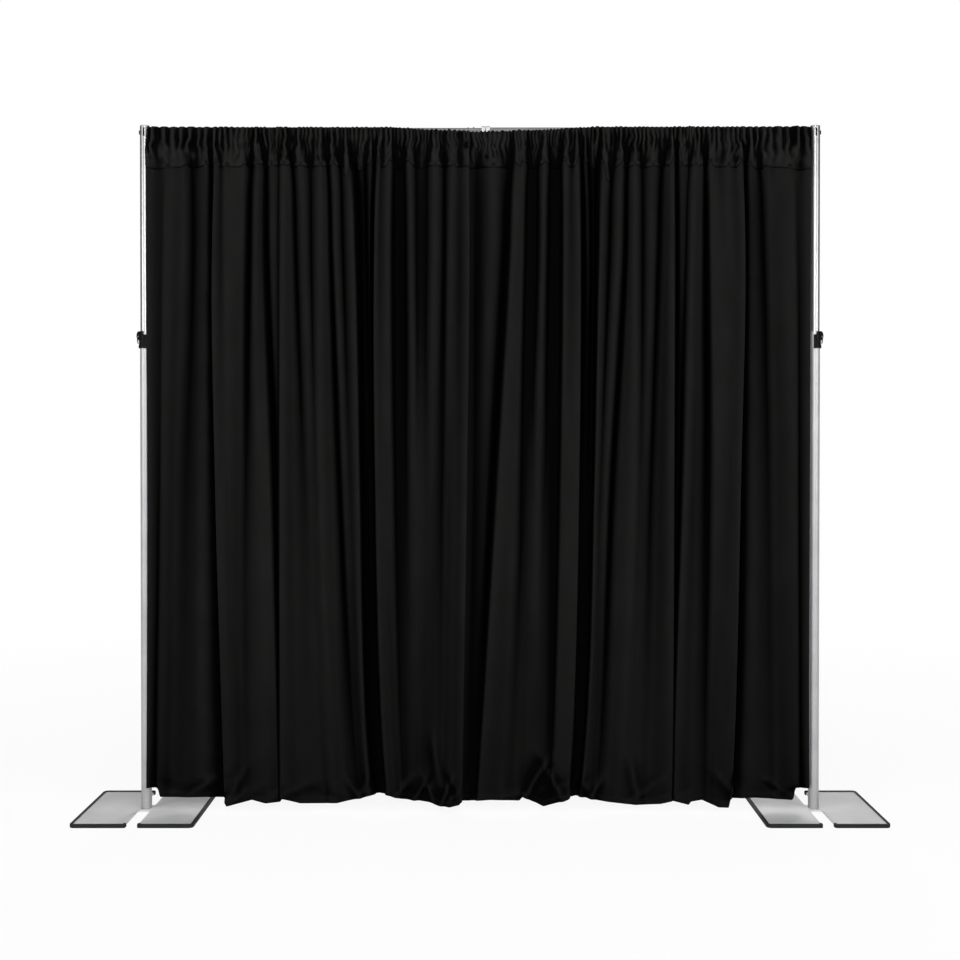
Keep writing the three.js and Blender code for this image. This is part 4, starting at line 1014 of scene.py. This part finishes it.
class Panel:
    def __init__(self, number):
        self.number = number
        lines = foldLines[number]
        self.places = np.array([line[0] for line in lines], float)
        depths = np.array([line[1] for line in lines], float)
        free = depths < drape["edgeDepth"]  # the outer edges stay just before the uprights
        depths = np.where(free, depths * drape["foldScale"], depths)
        middle = (np.roll(depths, 1, axis=0) + np.roll(depths, -1, axis=0)) / 2
        apart = np.abs(depths - middle) / drape["strongFold"]  # the small folds fade away below
        calm = middle + (depths - middle) * np.clip(apart, drape["faintFold"], 1)
        depths[1:-1, 2:] = calm[1:-1, 2:]
        share = drape["topShare"] * free[:, 0]
        depths[:, 0] = depths[:, 0] * (1 - share) + depths[:, 1] * share
        self.depths = depths
        shares = [0.0]
        for i in range(len(lines) - 1):
            run = np.hypot(self.places[i + 1] - self.places[i], depths[i + 1] - depths[i])[:4].max()
            count = max(5, round(run * 1.06 / drape["column"]))
            shares += [i + (k + 1) / count for k in range(count)]
        self.shares = np.array(shares)
        self.random = np.random.default_rng(40 + number)
        self.topX, self.topDepth = self.fold(levels[0])
        self.scatterGathers()
        self.placeSeam()
        self.findTents()

    def fold(self, z):  # places and depths of every column at a height, before the small creases
        places, depths = easeThrough(levels, self.places, z), easeThrough(levels, self.depths, z)
        i = np.minimum(self.shares.astype(int), len(places) - 2)
        t = self.shares - i
        width, rise = places[i + 1] - places[i], depths[i + 1] - depths[i]
        swap = rise < 0  # each stretch is drawn from its valley to its ridge
        u = np.where(swap, 1 - t, t)
        round_ = drape["roundness"] * np.clip((np.abs(rise) / np.maximum(width, 4) - 0.12) / 0.5, 0, 1)
        across = u * (1 - round_) + (1 - np.cos(np.pi * u / 2)) * round_
        climb = (1 - np.cos(np.pi * u)) / 2 * (1 - round_) + np.sin(np.pi * u / 2) * round_
        across, climb = np.where(swap, 1 - across, across), np.where(swap, 1 - climb, climb)
        return places[i] + width * across, depths[i] + rise * climb

    def scatterGathers(self):
        self.gatherLayers = []
        for _ in range(3):  # the front and the back of the pocket, and its upper edge
            places, pitches = [self.topX[0] - 30], []
            while places[-1] < self.topX[-1] + 30:
                away = (abs(places[-1]) - gathers["broadFrom"]) / (gathers["broadTo"] - gathers["broadFrom"])
                broad = np.clip(away, 0, 1)
                pitch = (gathers["fine"] + (gathers["broad"] - gathers["fine"]) * broad) / 2
                pitches.append(pitch * self.random.uniform(0.55, 1.6))
                places.append(places[-1] + pitches[-1])
            pitches.append(pitches[-1])
            count = len(places)
            rise = np.where(np.arange(count) % 2, 1, 0) * self.random.uniform(0.45, 1.0, count)
            size = spread(np.array(pitches), 2) * 2 * gathers["depth"]
            self.gatherLayers.append((np.array(places), rise, size))

    def gather(self, x, layer=0):  # how far the small gathers lift the cloth at each place
        places, rise, size = self.gatherLayers[layer]
        i = np.clip(np.searchsorted(places, x) - 1, 0, len(places) - 2)
        t = np.clip((x - places[i]) / (places[i + 1] - places[i]), 0, 1)
        t = np.where(rise[i] > rise[i + 1], 1 - t, t)
        low, high = np.minimum(rise[i], rise[i + 1]), np.maximum(rise[i], rise[i + 1])
        climb = 0.45 * (1 - np.cos(np.pi * t)) / 2 + 0.55 * np.sin(np.pi * t / 2)
        return (low + (high - low) * climb) * np.interp(x, places, size)

    def placeSeam(self):  # the stitch line rises on the narrow folds and hangs in the flat stretches
        x, depth = self.topX, self.topDepth
        places = np.arange(x[0], x[-1] + 2, 2.0)
        line = np.interp(places, x, depth)
        above = np.clip((line - spread(line, 17)) / 7, 0, 1)
        seam = drape["stitch"] + 3 + drape["ridgeLift"] * above ** 1.3
        seam = spread(seam, 2) + 2.2 * clouds(places * 0.02, self.number, 4)
        for place, low, half in seamDips:
            seam -= low * np.exp(-((places - place) / half) ** 2)
        self.seam = np.interp(x, places, seam)

    def findTents(self):  # each fold tapers upward into the pocket from its place on the stitch line
        depth = spread(self.topDepth, 2)
        inner = (depth[1:-1] >= depth[:-2]) & (depth[1:-1] > depth[2:])
        peaks = np.flatnonzero(inner) + 1
        if not len(peaks):
            peaks = np.array([len(depth) // 2])
        self.cell = np.zeros(len(depth), int)
        self.cellEdges = []
        start = 0
        for k, peak in enumerate(peaks):
            last = len(depth) - 1
            end = peak + int(np.argmin(depth[peak:peaks[k + 1]])) if k + 1 < len(peaks) else last
            self.cell[start:end + 1] = k
            self.cellEdges.append((self.topX[start], self.topX[peak], self.topX[end]))
            start = end
        self.tentReach = self.random.uniform(0.6, 1.1, len(peaks))
        self.tentLean = self.random.uniform(-9, 9, len(peaks))
        self.strokes = []  # short wrinkles above the stitch line: start, low end, slant, length, width, rise
        count = int((self.topX[-1] - self.topX[0]) / 100 * gathers["strokes"] * 2)
        for place in self.random.uniform(self.topX[0], self.topX[-1], count):
            near = self.topX[peaks[np.argmin(np.abs(self.topX[peaks] - place))]]
            start = near + self.random.uniform(-9, 9) if self.random.random() < 0.6 else place
            ranges = ((4, 60), (-0.55, 0.55), (22, 60), (3, 6.5), (-3.5, 4.5))
            self.strokes.append((start, *[self.random.uniform(*ends) for ends in ranges]))

    def wrinkles(self, x, above):  # slanting wrinkles and pinched notches above the stitch line
        depth = np.zeros_like(x)
        for start, low, slant, length, width, rise in self.strokes:
            along = (above - low) / length
            aside = (x - start - slant * (above - low)) / width
            depth += rise * np.sin(np.pi * np.clip(along, 0, 1)) * np.exp(-aside ** 2)
        for left, middle, right in self.cellEdges:
            half = np.clip(min(middle - left, right - middle) * 0.4, 4, 11)
            notch = np.exp(-((above - gathers["pinchRise"]) / 4.5) ** 2 - ((x - middle) / half) ** 2)
            depth -= gathers["pinch"] * notch
        return depth

    def tents(self, t):  # the folds' depth inside the pocket, at a share t of the way up to the bar
        edges = np.array(self.cellEdges)[self.cell]
        left, middle, right = edges[:, 0], edges[:, 1], edges[:, 2]
        reach, lean = self.tentReach[self.cell], self.tentLean[self.cell]
        remain = np.clip(1 - t / reach, 0.02, 1)
        narrow = np.clip((95 - (right - left)) / 50, 0, 1)  # a wide fold keeps its width and only flattens
        squeeze = 1 - (1 - remain) * narrow
        inside = middle + (self.topX - middle - lean * t) / squeeze ** 0.8
        depth = np.interp(np.clip(inside, left, right), self.topX, self.topDepth)
        return np.where(depth > 0, depth * remain ** 0.45, depth * np.clip(1 - t, 0, 1) ** 1.5)

    def creases(self, x, z):
        wide = clouds(self.topX * 0.016, z * 0.0016, self.number * 7.3) * drape["drift"]
        fine = clouds(self.topX * 0.05, z * 0.004, self.number * 3.1 + 20) * drape["ripple"]
        edge = np.clip(np.minimum(self.shares, self.shares[-1] - self.shares), 0, 1)
        depth = (wide + fine) * edge * np.clip((drape["stitch"] - z) / 60, 0, 1)
        for place, height, angle, length, width, rise in crumples:
            turn = math.radians(angle)
            along = (x - place) * math.cos(turn) + (z - height) * math.sin(turn)
            aside = -(x - place) * math.sin(turn) + (z - height) * math.cos(turn)
            depth += drape["crumple"] * rise * np.exp(-(along / length) ** 2 - (aside / width) ** 2) * edge
        return depth

    def row(self, z):  # the cloth's own line at a height, as x and y in millimetres
        x, depth = self.fold(z)
        drop = np.maximum(self.seam - z, 0)
        fade = np.exp(-drop / gathers["fade"]) * np.clip(drop / 5, 0, 1)
        small = gathers["below"] * self.gather(x, 0) * fade
        return x, -(depth + small + self.creases(x, z))

    def slantedRow(self, z):  # a row whose height changes along the cloth
        low, high = float(z.min()), float(z.max())
        steps = max(2, int((high - low) / 16) + 2)
        rows = np.array([self.row(h) for h in np.linspace(low, high, steps)])
        place = np.clip((z - low) / max(high - low, 1) * (steps - 1), 0, steps - 1.001)
        i, k = place.astype(int), np.arange(len(z))
        t = place - i
        x = rows[i, 0, k] * (1 - t) + rows[i + 1, 0, k] * t
        y = rows[i, 1, k] * (1 - t) + rows[i + 1, 1, k] * t
        return np.stack([x, y, z], 1)

    def skirt(self):
        lowX, lowDepth = self.fold(levels[-1])
        self.hem = np.interp(lowX, [p for p, _ in hemLine], [h for _, h in hemLine])
        self.hem = spread(self.hem + np.clip(lowDepth, -14, 20) * 0.2, 2)
        tucked = self.slantedRow(self.seam)
        outer = np.clip((self.topDepth - 22) / 4, 0, 1)  # the outer edges pass before the clutches
        tucked[:, 1] *= drape["tuckedShare"] + (1 - drape["tuckedShare"]) * outer
        tucked[:, 2] += drape["tuck"]
        grid = [tucked]
        for below in (0, 3, 6, 10, 15, 21, 28, 36, 45, 55):
            grid.append(self.slantedRow(self.seam - below))
        top, low = self.seam - 66, self.hem + 58
        for step in np.linspace(0, 1, drape["rowsDown"]):
            grid.append(self.slantedRow(top + (low - top) * step))
        for above in (46, 36, 28, 21, 19, 12, 6, 0):
            line = self.slantedRow(self.hem + above)
            if above < drape["hemBand"]:
                line[:, 1] -= drape["hemThickness"]
            grid.append(line)
        self.grid = np.array(grid)
        self.along = np.concatenate([[0], np.cumsum(np.hypot(*np.diff(grid[60][:, :2], axis=0).T))])
        return self.grid


def clothPiece(name, grid, faces, along, down, frontPaintedShade, backPaintedShade):
    piece = addPiece(name, grid.reshape(-1, 3) * mm, faces)
    layer = piece.data.uv_layers.new(name="clothPlan")
    corners = np.zeros(len(piece.data.loops), int)
    piece.data.loops.foreach_get("vertex_index", corners)
    plan = np.stack([along.ravel()[corners], down.ravel()[corners]], 1)
    layer.data.foreach_set("uv", plan.astype(np.float32).ravel() * mm)
    piece.data.polygons.foreach_set("use_smooth", [True] * len(piece.data.polygons))
    middle = piece.data.polygons[len(piece.data.polygons) // 9]
    forward = middle.normal.y < 0
    wall = piece.modifiers.new("thickness", "SOLIDIFY")
    wall.thickness = drape["thickness"] * mm
    wall.offset = 0
    wall.use_rim = True
    settle(piece)
    shade = piece.data.attributes.new("paintedFoldShade", "FLOAT", "POINT")
    order = (frontPaintedShade, backPaintedShade) if forward else (backPaintedShade, frontPaintedShade)
    both = np.concatenate([values.ravel() for values in order])
    shade.data.foreach_set("value", both.astype(np.float32))
    return piece


def gridFaces(rows, columns, skip=None):
    faces = []
    for r in range(rows - 1):
        for c in range(columns - 1):
            if skip is not None and skip(r, c):
                continue
            a = r * columns + c
            faces.append((a, a + columns, a + columns + 1, a + 1))
    return faces


def addSkirt(panel, body):
    grid = panel.skirt()
    rows, columns = grid.shape[:2]
    front, back = [np.array([paintedFoldShade(line, side) for line in grid]) for side in (-1, 1)]
    front[1:3] *= np.array([[0.45], [0.8]])  # painted shade: a dark line under the stitches
    piece = clothPiece(f"drapeSkirt{panel.number}", grid, gridFaces(rows, columns),
                       np.tile(panel.along, (rows, 1)), grid[..., 2], front, back)
    fit(piece, body, finishes["blackDrapeCloth"], "black_cloth", f"drape_panel_{panel.number}")
    return piece


def topOfPocket(x):  # how high the cloth reaches, where the pocket is open along its top
    places, shares = zip(*openTop)
    sag = np.interp(x, places, shares) * drape["openDepth"]
    return np.where((x > places[0]) & (x < places[-1]), drape["barTop"] + 1.5 - sag, np.inf)


def addPocket(panel, body):
    x, seam, axis = panel.topX, panel.seam, drape["barAxis"]
    near = np.exp(-((x - 21) / 75) ** 4)
    out = drape["standOff"] + (drape["lockStandOff"] - drape["standOff"]) * near
    crest = np.where(x < 20, drape["innerTop"], drape["outerTop"]) + 1.0 - axis
    for edge in drape["upperEdges"].get(panel.number, ()):  # where this panel laps over its neighbour
        lap = drape["lap"] * np.clip(1 - np.abs(x[edge] - x) / drape["lapReach"], 0, 1)
        out, crest = out + lap, crest + lap
    headroom = drape["headroom"] if panel.number == 1 else 0  # beside the left slotted head
    aside = headroom * np.clip(1 - (x - x[0]) / drape["lapReach"], 0, 1)
    flat = np.clip(np.minimum(x + 1222, 1212 - x) / 16, 0.25, 1)  # the outer edges lie flat
    beside = halfSpan / mm - clutch["footRadius"] - 1.4  # the back passes beside the clutches when lowered
    narrow = [0, beside - 34, beside]
    recede = np.sign(x) * np.interp(np.abs(x), [0, beside - 34, max(beside, np.abs(x).max())], narrow) - x
    limit = topOfPocket(x)
    opened = np.isfinite(limit)
    limit = limit + np.where(opened, 0.9 * (panel.gather(x, 2) - 2), 0)
    turns = np.linspace(0, 1, drape["overRows"] + 1)[1:]

    def sheet(side):  # rows from the stitch line up to the crest, for the front (-1) or the back (1)
        layer = 0 if side < 0 else 1
        rows = []
        for share in np.linspace(0, 1, drape["headRows"]) ** 1.1:
            z = seam + (np.minimum(limit, axis) - seam) * share
            grow = np.clip(share / 0.6, 0, 1)
            arch = np.sin(np.pi * share)
            warp = gathers["warp"] * clouds(x * 0.02, z * 0.025, 3 * side + panel.number) * arch
            slack = 0.95 + 1.1 * clouds(x * 0.023, z * 0.017, 7 * side + panel.number)
            wave = panel.tents(share) * (1 if side < 0 else 1 - min(1, share / 0.5))
            calm = 1 - gathers["calm"] * np.clip(wave / 9, 0, 1) * (1 - share)  # the tents' faces are smooth
            ready = min(1, share / 0.05)
            lift = panel.gather(x + warp, layer) * (0.08 + 0.92 * grow) * ready
            lift = lift * np.clip(slack, 0.25, 1.7) * calm
            lift = lift + panel.wrinkles(x + (0 if side < 0 else 37), z - seam)
            pucker = 0.5 + clouds(x * 0.034, z * 0.03, 5 * side + panel.number)
            lift = lift + gathers["pucker"] * pucker * arch
            lift = (lift + gathers["swell"] * arch ** 0.7) * flat
            stand = out * np.sin(np.pi * share / 2) ** 0.9
            y = side * (stand + lift + drape["layerGap"] * min(1, share / 0.05 + 0.4)) - wave
            shift = aside * np.clip((share - 0.7) / 0.3, 0, 1)
            if side > 0:
                shift = shift + recede * np.clip(min(share / 0.12, (1 - share) / 0.25), 0, 1)
            rows.append(np.stack([x + shift, y, z], 1))
        peak = crest + gathers["ruffle"] * np.clip(lift, 0, gathers["ruffleMost"])
        last = np.where(opened, np.arcsin(np.clip((limit - axis) / peak, 0, 1)), math.pi / 2)
        for turn in turns:
            lift = last * turn
            height = np.minimum(limit, axis) + peak * np.sin(lift)
            rows.append(np.stack([x + aside, rows[drape["headRows"] - 1][:, 1] * np.cos(lift), height], 1))
        return rows

    front, back = sheet(-1), sheet(1)
    tail = back[0].copy()
    tail[:, 2] -= drape["backTail"]
    tail[:, 1] = tail[:, 1] + 0.3
    grid = np.array(front + back[-2::-1] + [tail])
    rows, count = grid.shape[:2]
    crossing = len(front) - 1
    faces = gridFaces(rows, count, lambda r, c: r == crossing and opened[c] and opened[c + 1])
    faces = [face[::-1] for face in faces]
    lengths = np.linalg.norm(np.diff(grid, axis=0), axis=2)
    climb = np.concatenate([np.zeros((1, count)), np.cumsum(lengths, axis=0)]) + drape["stitch"]
    shade = np.ones((rows, count))
    # painted light and painted shade: the pocket's cloth is brighter where it stands forward and darker in its
    # hollows
    for r in range(rows):
        side = 1 if r <= crossing else -1
        forward = -side * grid[r, :, 1]
        shade[r] = gathers["paintedLightShare"] * paintedHollowShade(x, forward, 14, 5) * paintedHollowShade(x, forward, 40, 46)
    # painted shade along the stitch line
    shade[:3] *= np.array([[0.3], [0.75], [0.95]])
    along = np.tile(panel.along, (rows, 1))
    # the inside of the pocket gets 0.3 of the outside's share, as painted shade
    piece = clothPiece(f"drapePocket{panel.number}", grid, faces, along, climb, shade, shade * 0.3)
    loosen(piece)
    fit(piece, body, finishes["blackDrapeCloth"], "black_cloth")
    panel.seamRow = front[0]
    return piece


def loosen(piece):  # drops points that no face uses
    work = bmesh.new()
    work.from_mesh(piece.data)
    stray = [v for v in work.verts if not v.link_faces]
    bmesh.ops.delete(work, geom=stray, context="VERTS")
    work.to_mesh(piece.data)
    work.free()


stitching = {"pitch": 3.4, "length": 2.3, "thickness": 0.55, "seed": 3}


def stitchTree():
    tree = bpy.data.node_groups.new("stitchRow", "GeometryNodeTree")
    face = tree.interface
    face.new_socket("Geometry", in_out="INPUT", socket_type="NodeSocketGeometry")
    for name in ("Pitch", "Length", "Thickness"):
        face.new_socket(name, in_out="INPUT", socket_type="NodeSocketFloat")
    face.new_socket("Thread", in_out="INPUT", socket_type="NodeSocketMaterial")
    face.new_socket("Geometry", in_out="OUTPUT", socket_type="NodeSocketGeometry")
    add, join = tree.nodes.new, tree.links.new
    start, end = add("NodeGroupInput"), add("NodeGroupOutput")
    curve, spaced = add("GeometryNodeMeshToCurve"), add("GeometryNodeResampleCurve")
    spaced.mode = "LENGTH"
    join(start.outputs["Geometry"], curve.inputs["Mesh"])
    join(curve.outputs["Curve"], spaced.inputs["Curve"])
    join(start.outputs["Pitch"], spaced.inputs["Length"])
    thread = add("GeometryNodeMeshCylinder")
    thread.inputs["Vertices"].default_value = 6
    half = add("ShaderNodeMath")
    half.operation = "MULTIPLY"
    half.inputs[1].default_value = 0.5
    join(start.outputs["Thickness"], half.inputs[0])
    join(half.outputs[0], thread.inputs["Radius"])
    join(start.outputs["Length"], thread.inputs["Depth"])
    tangent, align = add("GeometryNodeInputTangent"), add("FunctionNodeAlignRotationToVector")
    align.axis = "Z"
    join(tangent.outputs["Tangent"], align.inputs["Vector"])
    size = add("FunctionNodeRandomValue")
    size.data_type = "FLOAT"
    size.inputs[2].default_value = 0.88
    size.inputs[3].default_value = 1.08
    size.inputs["Seed"].default_value = stitching["seed"]
    placed = add("GeometryNodeInstanceOnPoints")
    join(spaced.outputs["Curve"], placed.inputs["Points"])
    join(thread.outputs["Mesh"], placed.inputs["Instance"])
    join(align.outputs["Rotation"], placed.inputs["Rotation"])
    join(size.outputs[1], placed.inputs["Scale"])
    real, painted = add("GeometryNodeRealizeInstances"), add("GeometryNodeSetMaterial")
    join(placed.outputs["Instances"], real.inputs["Geometry"])
    join(real.outputs["Geometry"], painted.inputs["Geometry"])
    join(start.outputs["Thread"], painted.inputs["Material"])
    join(painted.outputs["Geometry"], end.inputs["Geometry"])
    return tree


stitchRow = stitchTree()


def addStitches(name, lines, body):  # one plain mesh of stitches along the given lines
    points, edges = [], []
    for line in lines:
        first = len(points)
        points += [tuple(p) for p in line]
        edges += [(first + k, first + k + 1) for k in range(len(line) - 1)]
    data = bpy.data.meshes.new(name)
    data.from_pydata(points, edges, [])
    piece = bpy.data.objects.new(name, data)
    scene.collection.objects.link(piece)
    sewn = piece.modifiers.new("stitches", "NODES")
    sewn.node_group = stitchRow
    values = {"Pitch": stitching["pitch"] * mm, "Length": stitching["length"] * mm,
              "Thickness": stitching["thickness"] * mm, "Thread": finishes["sewingThread"]}
    for item in stitchRow.interface.items_tree:
        if item.in_out == "INPUT" and item.name in values:
            sewn[item.identifier] = values[item.name]
    settle(piece)
    fit(piece, body, finishes["sewingThread"], "black_cloth")
    return piece


def hangDrapes():
    skin = (drape["thickness"] / 2 + 0.15) * mm
    seamLines, hemLines = {"bar_inner": [], "bar_outer": []}, {"bar_inner": [], "bar_outer": []}
    for number in foldLines:
        body = "bar_inner" if number < 3 else "bar_outer"
        panel = Panel(number)
        skirt = addSkirt(panel, body)
        pocket = addPocket(panel, body)
        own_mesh(skirt)
        seam = panel.seamRow * mm
        seam[:, 1] -= skin
        seam[:, 2] += 1.5 * mm
        seamLines[body].append(seam)
        hemTop = panel.grid[-4] * mm
        hemTop[:, 1] -= skin + drape["hemThickness"] * mm / 2
        hemLines[body].append(hemTop)
        print("panel", number, "hung,", len(skirt.data.polygons) + len(pocket.data.polygons), "faces")
    for body, end in (("bar_inner", "Left"), ("bar_outer", "Right")):
        addStitches(f"pocketSeam{end}", seamLines[body], body)
        hem = addStitches(f"hemSeam{end}", hemLines[body], body)
        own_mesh(hem)


hangDrapes()

# Finishes of the solids that stay as they are

keptSolids = {"span_grip_bush": "blackMouldedPlastic"}
for side in sides:
    keptSolids[f"{side}_guide_bush"] = "blackMouldedPlastic"
    keptSolids[f"{side}_base_pin_screw"] = "zincPlate"
for node, finish in keptSolids.items():
    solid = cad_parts[node]
    solid.data.materials.clear()
    solid.data.materials.append(finishes[finish])
for name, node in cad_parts.items():
    if not node.hide_render and name not in keptSolids:
        print("not dressed:", name)

bpy.context.view_layer.update()
